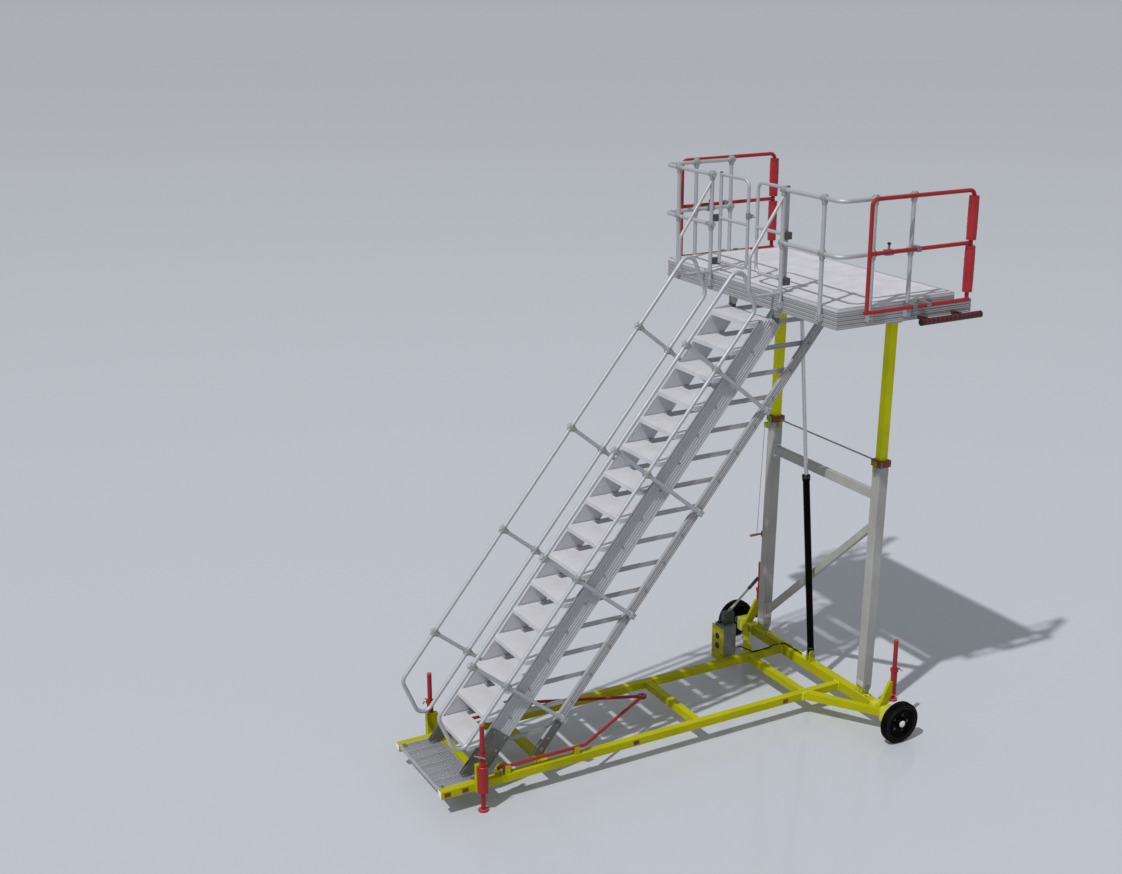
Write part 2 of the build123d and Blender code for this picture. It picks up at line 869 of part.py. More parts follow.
stringer_foot = foot_plates(foot_x, stringer_depth, foot_cut, stringer_fish_end)
stringer_head = end_plate(foot_x, stair_length, stringer_end, -stringer_plate_half, slant_low, beam_eye)
with BuildPart() as stringer_end_plates:
    add(stringer_foot)
    add(stringer_head)
    mirror(about=Plane.XZ)
save(stringer_end_plates.part, "stringer_end_plates")

# Lower beams, parallel to the stringers
beam_end = stair_length - head_cut
beam_grooves = (-beam_groove_offset, beam_groove_offset)
left_beam = grooved_member(beam_foot_x, beam_depth, beam_foot_cut, beam_end, beam_grooves)
with BuildPart() as lower_beams:
    add(left_beam)
    mirror(about=Plane.XZ)
save(lower_beams.part, "lower_beams")

beam_foot = foot_plates(beam_foot_x, beam_depth, beam_foot_cut, beam_fish_end)
beam_head = end_plate(beam_foot_x, stair_length, beam_end, -beam_plate_half, beam_plate_half, beam_eye)
with BuildPart() as beam_end_plates:
    add(beam_foot)
    add(beam_head)
    mirror(about=Plane.XZ)
save(beam_end_plates.part, "beam_end_plates")

# Handrails: a closed loop of tube each side
handrail_rear = stair_length + handrail_overrun
handrail_corners = (
    (handrail_front, hand_rail_height),
    (handrail_rear, hand_rail_height),
    (handrail_rear - handrail_lean, knee_rail_height),
    (handrail_front - handrail_lean, knee_rail_height),
)
handrail_points = [stair_point(s, p, handrail_y) for s, p in handrail_corners]
left_loop = bent_bar(handrail_points, tube_radius, handrail_bend, close=True)
with BuildPart() as handrail_loops:
    add(left_loop)
    mirror(about=Plane.XZ)
save(handrail_loops.part, "handrail_loops")

# Handrail posts, square to the slope, clamped to the lower beams and round the two rails
beam_drop = -beam_setback * slope_sin
with BuildPart() as handrail_posts:
    for s in post_places:
        with BuildSketch(Plane(origin=stair_point(s, beam_drop, handrail_y), z_dir=across)):
            Circle(tube_radius)
        extrude(amount=hand_rail_height - beam_drop)
        for height in (knee_rail_height, hand_rail_height):
            add(knuckle(stair_point(s, height, handrail_y), along, across))
        with BuildSketch(stair_plane(handrail_y + tube_radius)):
            with Locations((s, beam_drop)):
                Rectangle(beam_clamp, beam_clamp)
        extrude(amount=handrail_y + tube_radius - stringer_outer_y)
    add(left_loop, mode=Mode.SUBTRACT)
    mirror(about=Plane.XZ)
save(handrail_posts.part, "handrail_posts")

# Steps: tread with a nosing and a rear lip, and two level arms back to the lower beams
for number, place in enumerate(step_places, 1):
    pivot = stair_point(place, 0, 0)
    top = pivot.Z + tread_above_pivot
    nose = pivot.X - tread_overhang
    with BuildPart() as step:
        with BuildSketch(side_plane(tread_half)):
            with BuildLine():
                Polyline(
                    (nose, top),
                    (nose, top - nosing_height),
                    (nose + nosing_width, top - nosing_height),
                    (nose + nosing_width, top - tread_thickness),
                    (nose + tread_depth, top - tread_thickness),
                    (nose + tread_depth, top),
                    close=True,
                )
            make_face()
        extrude(amount=2 * tread_half)
        for y in (tread_half + arm_thickness, -tread_half):
            with BuildSketch(side_plane(y)):
                arm_start = nose + nosing_width / 2
                arm_end = pivot.X + beam_setback
                with Locations(((arm_start + arm_end) / 2, pivot.Z)):
                    Rectangle(arm_end - arm_start, arm_height)
                with Locations((arm_end, pivot.Z)):
                    Circle(arm_height / 2)
            extrude(amount=arm_thickness)
    save(step.part, f"step_{number:02d}")

# Deck plate, the grooved fascia under its edge and the side beams that reach past its rear end
deck_outline = (
    (deck_front_x, deck_half),
    (deck_step_x, deck_half),
    (deck_step_x, deck_rear_half),
    (deck_rear_x, deck_rear_half),
    (deck_rear_x, -deck_rear_half),
    (deck_step_x, -deck_rear_half),
    (deck_step_x, -deck_half),
    (deck_front_x, -deck_half),
)
with BuildPart() as deck_plate:
    with BuildSketch(Plane.XY.offset(deck_low)):
        with BuildLine():
            Polyline(*deck_outline, close=True)
        make_face()
    extrude(amount=deck_thickness)
save(deck_plate.part, "deck_plate")

fascia_low = deck_low - fascia_depth
with BuildPart() as deck_fascia:
    with BuildSketch(Plane.XY.offset(fascia_low)):
        with BuildLine():
            Polyline(*deck_outline, close=True)
        make_face()
        offset(amount=-fascia_thickness, kind=Kind.INTERSECTION, mode=Mode.SUBTRACT)
    extrude(amount=fascia_depth)
    for height in fascia_grooves:
        with BuildSketch(Plane.XY.offset(fascia_low + height)):
            with BuildLine():
                Polyline(*deck_outline, close=True)
            make_face()
            offset(amount=-groove_depth, kind=Kind.INTERSECTION, mode=Mode.SUBTRACT)
        extrude(amount=groove_width, mode=Mode.SUBTRACT)
    side_beam_length = side_beam_rear_x - deck_step_x
    with Locations((deck_step_x, deck_rear_half, fascia_low)):
        side_beam = Box(
            side_beam_length,
            deck_narrowing,
            side_beam_height,
            align=(Align.MIN, Align.MIN, Align.MIN),
        )
    mirror(side_beam, about=Plane.XZ)
    groove_starts = [
        (deck_step_x, side * deck_half, fascia_low + height)
        for side in (1, -1)
        for height in side_beam_grooves
    ]
    with Locations(groove_starts):
        Box(
            side_beam_length,
            2 * groove_depth,
            groove_width,
            align=(Align.MIN, Align.CENTER, Align.MIN),
            mode=Mode.SUBTRACT,
        )
save(deck_fascia.part, "deck_fascia")

# Bearers under the deck, with the stair's head forks and the cheeks of cylinder and legs
bearer_low = deck_low - bearer_depth
head_fork = fork(head_x, head_z, bearer_low, fork_mid_y, tongue, beam_eye)
beam_head_fork = fork(beam_head_x, head_z, bearer_low, fork_mid_y, tongue, beam_eye)
ram_cheek = rod_radius + cheek_gap
leg_cheek = leg_inner / 2 + cheek_gap
with BuildPart() as deck_bearers:
    for x, half in (
        (head_x, deck_half - fascia_thickness),
        (beam_head_x, deck_half - fascia_thickness),
        (leg_head_x, deck_rear_half - fascia_thickness),
    ):
        with Locations((x, 0, deck_low)):
            Box(bearer_width, 2 * half, bearer_depth, align=(Align.CENTER, Align.CENTER, Align.MAX))
    for y in (leg_y + leg_cheek + fork_plate, leg_y - leg_cheek):
        with BuildSketch(side_plane(y)):
            with Locations((leg_head_x, bearer_low)):
                cheek_drop = bearer_low - leg_head_z + leg_eye
                Rectangle(2 * cheek_half, cheek_drop, align=(Align.CENTER, Align.MAX))
        extrude(amount=fork_plate)
    add(head_fork)
    add(beam_head_fork)
    mirror(about=Plane.XZ)
    for y in (ram_cheek + fork_plate, -ram_cheek):
        with BuildSketch(side_plane(y)):
            with BuildLine():
                Polyline(
                    (beam_head_x + bearer_width / 2, deck_low),
                    (beam_head_x + bearer_width / 2, bearer_low),
                    (ram_head_x + ram_eye, ram_head_z - ram_eye),
                    (ram_head_x - ram_eye, ram_head_z - ram_eye),
                    (ram_head_x - ram_eye, deck_low),
                    close=True,
                )
            make_face()
        extrude(amount=fork_plate)
save(deck_bearers.part, "deck_bearers")

# Guardrails: top and knee rail bent round each front corner, and the rails that meet the handrails
guard_top = deck_top + guard_height
knee_z = deck_top + knee_height
post_x = deck_front_x - post_offset
post_y = deck_half + post_offset
front_post_y = deck_half - front_post_inset
side_post_x = side_posts_x[-1]
left_rails = [
    bent_bar(
        ((post_x, gate_post_y, z), (post_x, post_y, z), (side_post_x, post_y, z)),
        tube_radius,
        corner_bend,
    )
    for z in (guard_top, knee_z)
]
gate_post = round_bar(
    (post_x, gate_post_y, deck_top - post_foot),
    (post_x, gate_post_y, guard_top),
    tube_radius,
)
transition = bent_bar(
    (
        (post_x, gate_post_y, deck_top + transition_top),
        (post_x - transition_reach, gate_post_y, deck_top + transition_knee),
        (post_x - transition_reach, gate_post_y, deck_top + transition_foot),
        (post_x, gate_post_y, deck_top + transition_foot),
    ),
    transition_radius,
    corner_bend,
)
with BuildPart() as left_transition:
    add(transition)
    add(gate_post, mode=Mode.SUBTRACT)
with BuildPart() as guard_rails:
    add(left_rails)
    add(left_transition.part)
    mirror(about=Plane.XZ)
save(guard_rails.part, "guard_rails")

# Guard posts, clamped to the fascia, with a knuckle at each rail
other_posts = [
    round_bar((x, y, deck_top - post_foot), (x, y, guard_top), tube_radius)
    for x, y in [(post_x, front_post_y)] + [(x, post_y) for x in side_posts_x]
]
front_seats = [(post_x, y, Vector(0, 1, 0)) for y in (gate_post_y, front_post_y)]
side_seats = [(x, post_y, Vector(1, 0, 0)) for x in side_posts_x]
post_knuckles = [
    knuckle(Vector(x, y, z), rail_way, Vector(0, 0, 1))
    for x, y, rail_way in front_seats + side_seats
    for z in (guard_top, knee_z)
]
clamp_mid = deck_top - post_foot + clamp_height / 2
with BuildPart() as guard_posts:
    add(gate_post)
    add(other_posts)
    add(post_knuckles)
    for y in (gate_post_y, front_post_y):
        with Locations((deck_front_x, y, clamp_mid)):
            Box(
                post_offset + tube_radius,
                clamp_width,
                clamp_height,
                align=(Align.MAX, Align.CENTER, Align.CENTER),
            )
    with Locations([(x, deck_half, clamp_mid) for x in side_posts_x]):
        Box(
            clamp_width,
            post_offset + tube_radius,
            clamp_height,
            align=(Align.CENTER, Align.MIN, Align.CENTER),
        )
    add(left_rails, mode=Mode.SUBTRACT)
    add(left_transition.part, mode=Mode.SUBTRACT)
    mirror(about=Plane.XZ)
save(guard_posts.part, "guard_posts")

# Gates: two tube leaves, each a bent frame and a middle rail on a straight hinge upright
gate_x = post_x + gate_setback
gate_hinge_y = gate_post_y - gate_hinge_inset
gate_low = deck_top + gate_foot
gate_mid = (gate_low + guard_top) / 2
frame_points = (
    (gate_x, -gate_hinge_y, gate_low),
    (gate_x, -gate_free_y, gate_low),
    (gate_x, -gate_free_y, guard_top),
    (gate_x, -gate_hinge_y, guard_top),
)
gate_frame = bent_bar(frame_points, gate_radius, gate_bend)
gate_upright = round_bar(
    (gate_x, -gate_hinge_y, gate_low - gate_radius - tube_stub),
    (gate_x, -gate_hinge_y, guard_top + gate_radius + tube_stub),
    gate_upright_radius,
)
gate_rail = round_bar((gate_x, -gate_hinge_y, gate_mid), (gate_x, -gate_free_y, gate_mid), gate_radius)
with BuildPart() as right_gate:
    add(gate_frame)
    add(gate_upright)
    add(gate_rail)
save(right_gate.part, "gate_right")
save(mirror(right_gate.part, about=Plane.XZ), "gate_left")

# Sliding guards: bent tube frame with middle and bottom rails and two round pads on the rear upright
guard_low = deck_top - guard_drop
guard_high = guard_low + guard_span
guard_mid_z = guard_low + guard_mid_rise
guard_y = deck_half + guard_outset
guard_front_x = deck_front_x + guard_front_reach
guard_rear_x = deck_rear_x - guard_rear_inset
for name, side in (("left", 1), ("right", -1)):
    y = side * guard_y
    frame_points = (
        (guard_front_x, y, guard_low),
        (guard_front_x, y, guard_high),
        (guard_rear_x, y, guard_high),
        (guard_rear_x, y, guard_low),
    )
    guard_frame = bent_bar(frame_points, guard_radius, guard_bend)
    middle_rail = round_bar((guard_front_x, y, guard_mid_z), (guard_rear_x, y, guard_mid_z), guard_radius)
    bottom_rail = round_bar(
        (guard_front_x - guard_radius - tube_stub, y, guard_low),
        (guard_rear_x + guard_radius + tube_stub, y, guard_low),
        guard_radius,
    )
    pads = [
        round_bar((guard_rear_x, y, guard_low + low), (guard_rear_x, y, guard_low + high), pad_radius)
        for low, high in pad_spans
    ]
    with BuildPart() as guard:
        add(guard_frame)
        add(middle_rail)
        add(bottom_rail)
        add(pads)
    save(guard.part, f"side_guard_{name}")

# Blocks: gate hinges on the gate posts, the guides that the side guards slide in and their locks
guide_rear_x = deck_front_x + guide_rear_reach
guides = (
    (side_post_x, guard_mid_z, post_y + tube_radius),
    (side_post_x, guard_low, deck_half),
    (guide_rear_x, guard_low, deck_half),
)
with BuildPart() as hinge_and_guide_blocks:
    hinge_inner_y = gate_hinge_y + gate_upright_radius + face_gap
    for z in (gate_low, gate_mid):
        with Locations((post_x + tube_radius, hinge_inner_y, z)):
            Box(
                gate_setback - tube_radius + gate_upright_radius,
                gate_post_y + tube_radius - hinge_inner_y,
                hinge_block,
                align=(Align.MIN, Align.MIN, Align.CENTER),
            )
    for x, z, inner_y in guides:
        with Locations((x, inner_y, z)):
            Box(
                guide_length,
                guard_y + guide_size / 2 - inner_y,
                guide_size,
                align=(Align.CENTER, Align.MIN, Align.CENTER),
            )
        with BuildSketch(Plane(origin=(x - guide_length, guard_y, z), z_dir=(1, 0, 0))):
            Circle(guard_radius + slide_gap)
        extrude(amount=2 * guide_length, mode=Mode.SUBTRACT)
    add(guard_posts.part, mode=Mode.SUBTRACT)
    lock_x = deck_front_x + lock_reach
    with Locations((lock_x, post_y, knee_z)):
        Box(lock_length, lock_size, lock_size)
        Cylinder(
            lock_knob_radius,
            lock_knob_height,
            align=(Align.CENTER, Align.CENTER, Align.MIN),
        )
    with BuildSketch(Plane(origin=(lock_x - lock_length, post_y, knee_z), z_dir=(1, 0, 0))):
        Circle(tube_radius + face_gap)
    extrude(amount=2 * lock_length, mode=Mode.SUBTRACT)
    mirror(about=Plane.XZ)
save(hinge_and_guide_blocks.part, "hinge_and_guide_blocks")

# Side bumpers under the deck's edge, on two arms each
bumper_y = deck_half + bumper_outset
bumper_z = deck_top - bumper_drop
bumper_rear_x = deck_rear_x + bumper_overhang
left_bumper = round_bar(
    (bumper_rear_x - bumper_length, bumper_y, bumper_z),
    (bumper_rear_x, bumper_y, bumper_z),
    bumper_radius,
)
with BuildPart() as side_bumpers:
    add(left_bumper)
    for reach in bumper_arm_reaches:
        with Locations((deck_front_x + reach, deck_half, fascia_low)):
            Box(bumper_arm, bumper_outset, bumper_arm, align=(Align.CENTER, Align.MIN, Align.MIN))
    mirror(about=Plane.XZ)
save(side_bumpers.part, "side_bumpers")

# Telescopic legs: a tube whose cheeks straddle each axle lug, and a post that slides out of it
leg_run = Vector(leg_head_x - leg_foot_x, 0, leg_head_z - leg_foot_z)
leg_length = leg_run.length
leg_up = leg_run.normalized()


def leg_plane(height, y=0.0):
    """Plane square to the legs at a height above their foot pivot: local y to the left."""
    origin = Vector(leg_foot_x, y, leg_foot_z) + leg_up * height
    return Plane(origin=origin, x_dir=Vector(0, 1, 0).cross(leg_up), z_dir=leg_up)


def leg_side(y):
    """Upright plane along the legs: local x towards the rear, local y up the leg."""
    return Plane(origin=(leg_foot_x, y, leg_foot_z), x_dir=Vector(0, 1, 0).cross(leg_up), z_dir=(0, -1, 0))


leg_wall = (leg_outer - leg_bore) / 2
leg_cheek_half = leg_outer / 2 - tube_corner
with BuildPart() as outer_legs:
    with BuildSketch(leg_plane(leg_foot_cut, leg_y)):
        RectangleRounded(leg_outer, leg_outer, tube_corner)
    extrude(amount=leg_collar - leg_foot_cut)
    with BuildSketch(leg_plane(leg_foot_cut + leg_end_plate, leg_y)):
        Rectangle(leg_bore, leg_bore)
    extrude(amount=leg_collar - leg_foot_cut - leg_end_plate, mode=Mode.SUBTRACT)
    for y in (leg_y + leg_outer / 2, leg_y - leg_bore / 2):
        with BuildSketch(leg_side(y)):
            Rectangle(2 * leg_cheek_half, leg_foot_cut, align=(Align.CENTER, Align.MIN))
            Circle(leg_cheek_half)
            Circle(pin_radius + pin_gap, mode=Mode.SUBTRACT)
        extrude(amount=leg_wall)
    mirror(about=Plane.XZ)
save(outer_legs.part, "outer_legs")

with BuildPart() as inner_legs:
    with BuildSketch(leg_plane(leg_collar - leg_overlap, leg_y)):
        RectangleRounded(leg_inner, leg_inner, leg_inner_corner)
    extrude(amount=leg_length + leg_cap - leg_collar + leg_overlap)
    mirror(about=Plane.XZ)
save(inner_legs.part, "inner_legs")

# Ties between the legs: a level tube and a diagonal
tie_half = leg_y - leg_outer / 2
with BuildPart() as leg_ties:
    tie_plane = Plane(
        origin=(leg_foot_x, 0, leg_foot_z),
        x_dir=(0, 1, 0),
        z_dir=Vector(0, 1, 0).cross(leg_up),
    )
    with BuildSketch(tie_plane.offset(-tie_width / 2)):
        with Locations((0, tie_height)):
            Rectangle(2 * tie_half, tie_depth)
        with BuildLine():
            Polyline(
                (-tie_half, diagonal_high + diagonal_depth / 2),
                (-tie_half, diagonal_high - diagonal_depth / 2),
                (tie_half, diagonal_low - diagonal_depth / 2),
                (tie_half, diagonal_low + diagonal_depth / 2),
                close=True,
            )
        make_face()
    extrude(amount=tie_width)
save(leg_ties.part, "leg_ties")

# Lock collars on the tube tops, with the rod between them, the cable and its handle on the left
with BuildPart() as lock_collars:
    with BuildSketch(leg_plane(leg_collar, leg_y)):
        Rectangle(collar_size, collar_size)
        Rectangle(leg_bore, leg_bore, mode=Mode.SUBTRACT)
    extrude(amount=collar_height)
    mirror(about=Plane.XZ)
save(lock_collars.part, "lock_collars")

collar_inner = leg_y - collar_size / 2
collar_mid = leg_plane(leg_collar + collar_height / 2).origin
lock_rod = round_bar(
    (collar_mid.X, -collar_inner, collar_mid.Z),
    (collar_mid.X, collar_inner, collar_mid.Z),
    lock_rod_radius,
)
cable_y = leg_y + leg_outer / 2 + cable_offset
cable_low = leg_plane(lock_handle_height, cable_y).origin
cable_high = leg_plane(leg_collar + collar_height, cable_y).origin
lock_cable = round_bar(cable_low, cable_high, cable_radius)
with BuildPart() as lock_linkage:
    add(lock_rod)
    add(lock_cable)
    with BuildSketch(leg_plane(leg_collar, leg_y + collar_size / 2)):
        Rectangle(collar_size / 2, cable_offset, align=(Align.CENTER, Align.MIN))
    extrude(amount=collar_height)
    with BuildSketch(leg_plane(lock_handle_height - collar_height / 2, leg_y + leg_outer / 2)):
        Rectangle(lock_bracket_width, cable_offset + lock_handle_width, align=(Align.CENTER, Align.MIN))
    extrude(amount=collar_height)
    with BuildSketch(leg_plane(lock_handle_height, cable_y)):
        Rectangle(lock_handle_reach, lock_handle_width, align=(Align.MAX, Align.CENTER))
    extrude(amount=lock_handle_thickness)
save(lock_linkage.part, "lock_linkage")

# Lift cylinder: a barrel on the axle beam and its rod up to the deck
ram_run = Vector(ram_head_x - ram_foot_x, 0, ram_head_z - ram_foot_z)
ram_length = ram_run.length
ram_up = ram_run.normalized()


def ram_plane(height):
    """Plane square to the cylinder at a height above its foot pivot."""
    return Plane(origin=Vector(ram_foot_x, 0, ram_foot_z) + ram_up * height, z_dir=ram_up)


def ram_side(height, y):
    """Upright plane along the cylinder: local y up the cylinder."""
    origin = Vector(ram_foot_x, y, ram_foot_z) + ram_up * height
    return Plane(origin=origin, x_dir=Vector(0, 1, 0).cross(ram_up), z_dir=(0, -1, 0))


with BuildPart() as cylinder_barrel:
    with BuildSketch(ram_plane(barrel_foot)):
        Circle(barrel_radius)
    extrude(amount=barrel_length - barrel_foot)
    with BuildSketch(ram_plane(barrel_length - gland_length)):
        Circle(gland_radius)
    extrude(amount=gland_length)
    with BuildSketch(ram_plane(barrel_foot + ram_tongue)):
        Circle(rod_radius + slide_gap)
    extrude(amount=barrel_length - barrel_foot - ram_tongue, mode=Mode.SUBTRACT)
    with BuildSketch(ram_side(0, ram_tongue / 2)):
        Rectangle(2 * barrel_radius, barrel_foot, align=(Align.CENTER, Align.MIN))
        Circle(barrel_radius)
        Circle(pin_radius + pin_gap, mode=Mode.SUBTRACT)
    extrude(amount=ram_tongue)
save(cylinder_barrel.part, "cylinder_barrel")

with BuildPart() as cylinder_rod:
    with BuildSketch(ram_plane(barrel_length - rod_overlap)):
        Circle(rod_radius)
    extrude(amount=ram_length - barrel_length + rod_overlap)
    with BuildSketch(ram_side(ram_length, ram_tongue / 2)):
        Circle(ram_eye)
    extrude(amount=ram_tongue)
save(cylinder_rod.part, "cylinder_rod")
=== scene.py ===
"""Dress the variable-height access platform: finishes, fittings, stage and camera."""
import json
from math import cos, pi, radians, sin

import bmesh
import bpy
from bpy.props import FloatProperty, FloatVectorProperty, IntProperty, PointerProperty
from bpy.types import Operator, Panel, PropertyGroup
from mathutils import Matrix, Vector

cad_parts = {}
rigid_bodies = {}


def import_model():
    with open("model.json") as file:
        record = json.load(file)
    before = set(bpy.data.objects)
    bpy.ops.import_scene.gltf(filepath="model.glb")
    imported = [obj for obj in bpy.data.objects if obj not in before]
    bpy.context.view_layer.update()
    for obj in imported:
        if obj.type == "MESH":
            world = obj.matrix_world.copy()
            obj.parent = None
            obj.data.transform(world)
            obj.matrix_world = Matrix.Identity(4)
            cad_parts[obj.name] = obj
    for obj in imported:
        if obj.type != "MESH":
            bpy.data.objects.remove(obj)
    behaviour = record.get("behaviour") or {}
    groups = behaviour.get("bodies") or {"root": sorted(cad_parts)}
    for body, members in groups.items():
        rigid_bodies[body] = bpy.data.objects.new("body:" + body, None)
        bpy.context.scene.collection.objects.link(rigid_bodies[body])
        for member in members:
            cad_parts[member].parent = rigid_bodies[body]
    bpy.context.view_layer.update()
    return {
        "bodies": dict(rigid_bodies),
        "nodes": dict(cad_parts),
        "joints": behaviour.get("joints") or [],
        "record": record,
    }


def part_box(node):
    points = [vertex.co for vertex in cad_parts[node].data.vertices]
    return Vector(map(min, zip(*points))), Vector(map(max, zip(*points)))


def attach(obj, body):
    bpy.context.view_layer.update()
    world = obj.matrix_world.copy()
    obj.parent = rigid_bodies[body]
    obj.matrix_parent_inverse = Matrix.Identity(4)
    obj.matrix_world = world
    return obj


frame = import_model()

bl_info = {
    "name": "Access Platform Dressing",
    "version": (1, 0, 0),
    "blender": (4, 5, 0),
    "location": "3D View > Sidebar > Platform",
    "description": "Finishes and fittings for a variable-height access platform",
    "category": "Object",
}

PHOTO_WIDTH = 1122

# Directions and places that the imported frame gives
X, Y, Z = Vector((1, 0, 0)), Vector((0, 1, 0)), Vector((0, 0, 1))
SIDES = (1, -1)
NAMED_SIDES = (("left", 1), ("right", -1))
JOINT_AT = {joint["name"]: Vector(joint["pos_m"]) for joint in frame["joints"] if "pos_m" in joint}
FOOT = JOINT_AT["lift"]
HEAD = JOINT_AT["deck_level"]
BEAM_FOOT = JOINT_AT["beam_swing"]
UP_SLOPE = (HEAD - FOOT).normalized()
OFF_SLOPE = Vector((-UP_SLOPE.z, 0, UP_SLOPE.x))
STEP_BODIES = sorted(name for name in frame["bodies"] if name.startswith("step_"))
NODE_SLOT = {part["node"]: part["material_slot"] for part in frame["record"]["subparts"]}

# Stair: faces of the stringers, step pivots and handrail posts along the slope
STRINGER_FACE = 0.400
FOOT_FACE = 0.412
BEAM_SETBACK = 0.700
STEP_PLACES = [0.231 + 0.3375 * number for number in range(16)]
POST_PLACES = (0.823, 2.073, 3.323, 4.573)
POST_DROP = -0.5415
RAIL_HEIGHTS = (0.290, 0.760)
HANDRAIL_Y = 0.445
TUBE = 0.021
PLATE = 0.008
FOOT_BOLTS = (0.215, 0.372)
BEAM_BOLTS = (0.130, 0.290)
RIB_MARGIN, RIB_PITCH, RIB_SIZE = 0.030, 0.0245, (0.012, 0.66, 0.0024)
TREAD_RISE, TREAD_DEPTH = 0.025, 0.107

# Platform
DECK_TOP = 4.820
DECK_FRONT, DECK_STEP, DECK_REAR = 1.048, 2.125, 2.555
DECK_HALF, DECK_REAR_HALF = 1.486, 1.420
FASCIA_Z = 4.663
STRIP = 0.024
SCREW_ROWS = (1.090, 1.580, 2.070, 2.510)
POST_X, POST_Y = 1.023, 1.511
FRONT_POSTS = (0.620, 1.250)
SIDE_POSTS = (1.413, 1.875)
CLAMP_Z, CLAMP_OUT = 4.705, 0.046
GUARD_RAILS = (5.840, 5.320)
GATE_X, GATE_Y = 1.105, 0.575
GATE_RAILS = (4.930, 5.385)
GATE_ENDS = ((4.908, -Z), (5.862, Z))
HINGE_Y = 0.617
LATCH = Vector((GATE_X, 0.080, 5.480))
GUARD_X, GUARD_Y = 2.535, 1.610
PAD_SPANS = ((4.865, 5.315), (5.375, 5.800))
PAD_BORE, PAD_LIP = 0.0204, 0.034
GUIDES, GUIDE_FACE = ((1.875, 5.345), (1.875, 4.785), (2.045, 4.785)), 1.636
RAIL_LOCK_X, RAIL_LOCK_TOP = 1.605, 5.394
BUMPER_Y, BUMPER_Z = 1.600, 4.615
BUMPER_ENDS = (1.985, 2.745)

# Chassis
RAIL_TOP, RAIL_FACE, RAIL_MID, RAIL_INNER = 0.280, 0.570, 0.530, 0.490
RAIL_Z, RAIL_FRONT, RAIL_END = 0.240, -2.745, 2.094
CROSS_PLACES, CROSS_HALF = (0.255, 1.640), 0.040
LUG_FACES = (0.374, 0.386)
AXLE_X, BEAM_TOP, BEAM_HALF = 2.145, 0.300, 1.380
AXLE_BLOCKS = (
    (AXLE_X, BEAM_HALF + 0.004, (0.126, 0.014, 0.136), 0.004),
    (AXLE_X, 1.145, (0.124, 0.090, 0.134), 0.006),
    (AXLE_X, 1.328, (0.150, 0.096, 0.160), 0.010),
    (2.088, RAIL_MID, (0.014, 0.100, 0.098), 0.003),
    (1.640, RAIL_FACE + 0.003, (0.120, 0.014, 0.098), 0.003),
)
REFLECTORS = {1: (-2.680, -2.490, -0.540, 1.100), -1: (-2.680, -2.490, -0.540, 1.360)}
GRATING_CLIPS, CLIP_Y = (-2.690, -2.360), 0.470
WHEEL_Y, WHEEL_RADIUS = 1.520, 0.2286
NUT_CIRCLE, WALL_RIBS = 0.092, (0.178, 0.204)
LEG_FOOT = Vector((2.140, 0, 0.400))
LEG_UP = Vector((0.01829, 0, 0.99983))
LEG_Y, LEG_HALF = 0.923, 0.060
COLLAR_UP, TIE_UP, KNEE_UP = 2.555, 2.185, {1: 0.190, -1: 1.835}
HANDLE_UP, HANDLE_Y, LATCH_UP, LATCH_Y = 1.1075, 1.028, 2.455, 1.006
RAM_FOOT = Vector((2.128, 0, 0.400))
RAM_UP = Vector((-0.08640, 0, 0.99626))
BARREL_TOP = 2.190
TOW_FRONT, TOW_EYE = (-2.115, 0.352), (-0.125, 0.410)
PUMP_FRONT, PUMP_PORT = 1.3156, Vector((1.4906, 0.6175, 0.346))
FILLER, DIAL_Y, DIALS = Vector((1.350, 0.715, 0.661)), 0.680, (0.520, 0.400)
LEVER_FOOT, LEVER_HEAD = Vector((1.4256, 0.665, 0.791)), Vector((1.8406, 0.665, 1.141))
VALVE, HOSE_Z = Vector((AXLE_X, 0.118, 0.322)), 0.3073

# Jacks: x, y, foot of the pad, top of the leg, clamp bar and sleeve weld
JACKS = {
    "front": (-2.325, 0.630, 0.0, 0.930, 0.614, 0.480),
    "rear": (2.285, 1.235, 0.330, 1.030, 0.686, 0.4005),
}

# Turn that lays a block along a leg
LEG_TURN = Matrix((Y.cross(LEG_UP), Y, LEG_UP)).transposed()

# Half sections of turned fittings: (radius, height) points
DECK_SCREW = ((0, -0.001), (0.007, -0.001), (0.005, 0.0014), (0, 0.0018))
FOOT_PIN = ((0, -0.003), (0.024, -0.003), (0.024, 0.004), (0, 0.004))
GATE_CAP = ((0, -0.002), (0.0192, -0.002), (0.0192, 0.002), (0.014, 0.005), (0, 0.006))
KNOB = ((0, 0), (0.013, 0), (0.019, 0.006), (0.019, 0.014), (0.012, 0.021), (0, 0.022))
BUMPER_CAP = ((0, -0.004), (0.0352, -0.004), (0.0352, 0.001), (0.026, 0.005), (0, 0.006))
HUB_CAP = ((0, -0.002), (0.036, -0.002), (0.036, 0.006), (0.028, 0.013), (0.014, 0.016), (0, 0.017))
FILLER_CAP = ((0, -0.002), (0.024, -0.002), (0.024, 0.016), (0.020, 0.022), (0.008, 0.024), (0, 0.024))
PUMP_DIAL = ((0, -0.002), (0.036, -0.002), (0.036, 0.006), (0.028, 0.009), (0.012, 0.005), (0, 0.005))
PORT_NUT = ((0, -0.002), (0.015, -0.002), (0.015, 0.014), (0, 0.014))
JACK_CAP = ((0, -0.002), (0.0155, -0.002), (0.0255, 0.001), (0.0255, 0.006), (0.018, 0.011), (0, 0.012))
PAD_WASHER = ((0, -0.001), (0.046, -0.001), (0.038, 0.004), (0, 0.004))
CLAMP_BOSS = ((0, 0), (0.014, 0), (0.014, 0.020), (0.010, 0.026), (0, 0.026))
BALL_END = ((0, 0), (0.006, 0.002), (0.009, 0.009), (0.006, 0.016), (0, 0.018))
TOW_PIN = ((0, -0.002), (0.018, -0.002), (0.018, 0.006), (0.014, 0.010), (0, 0.010))
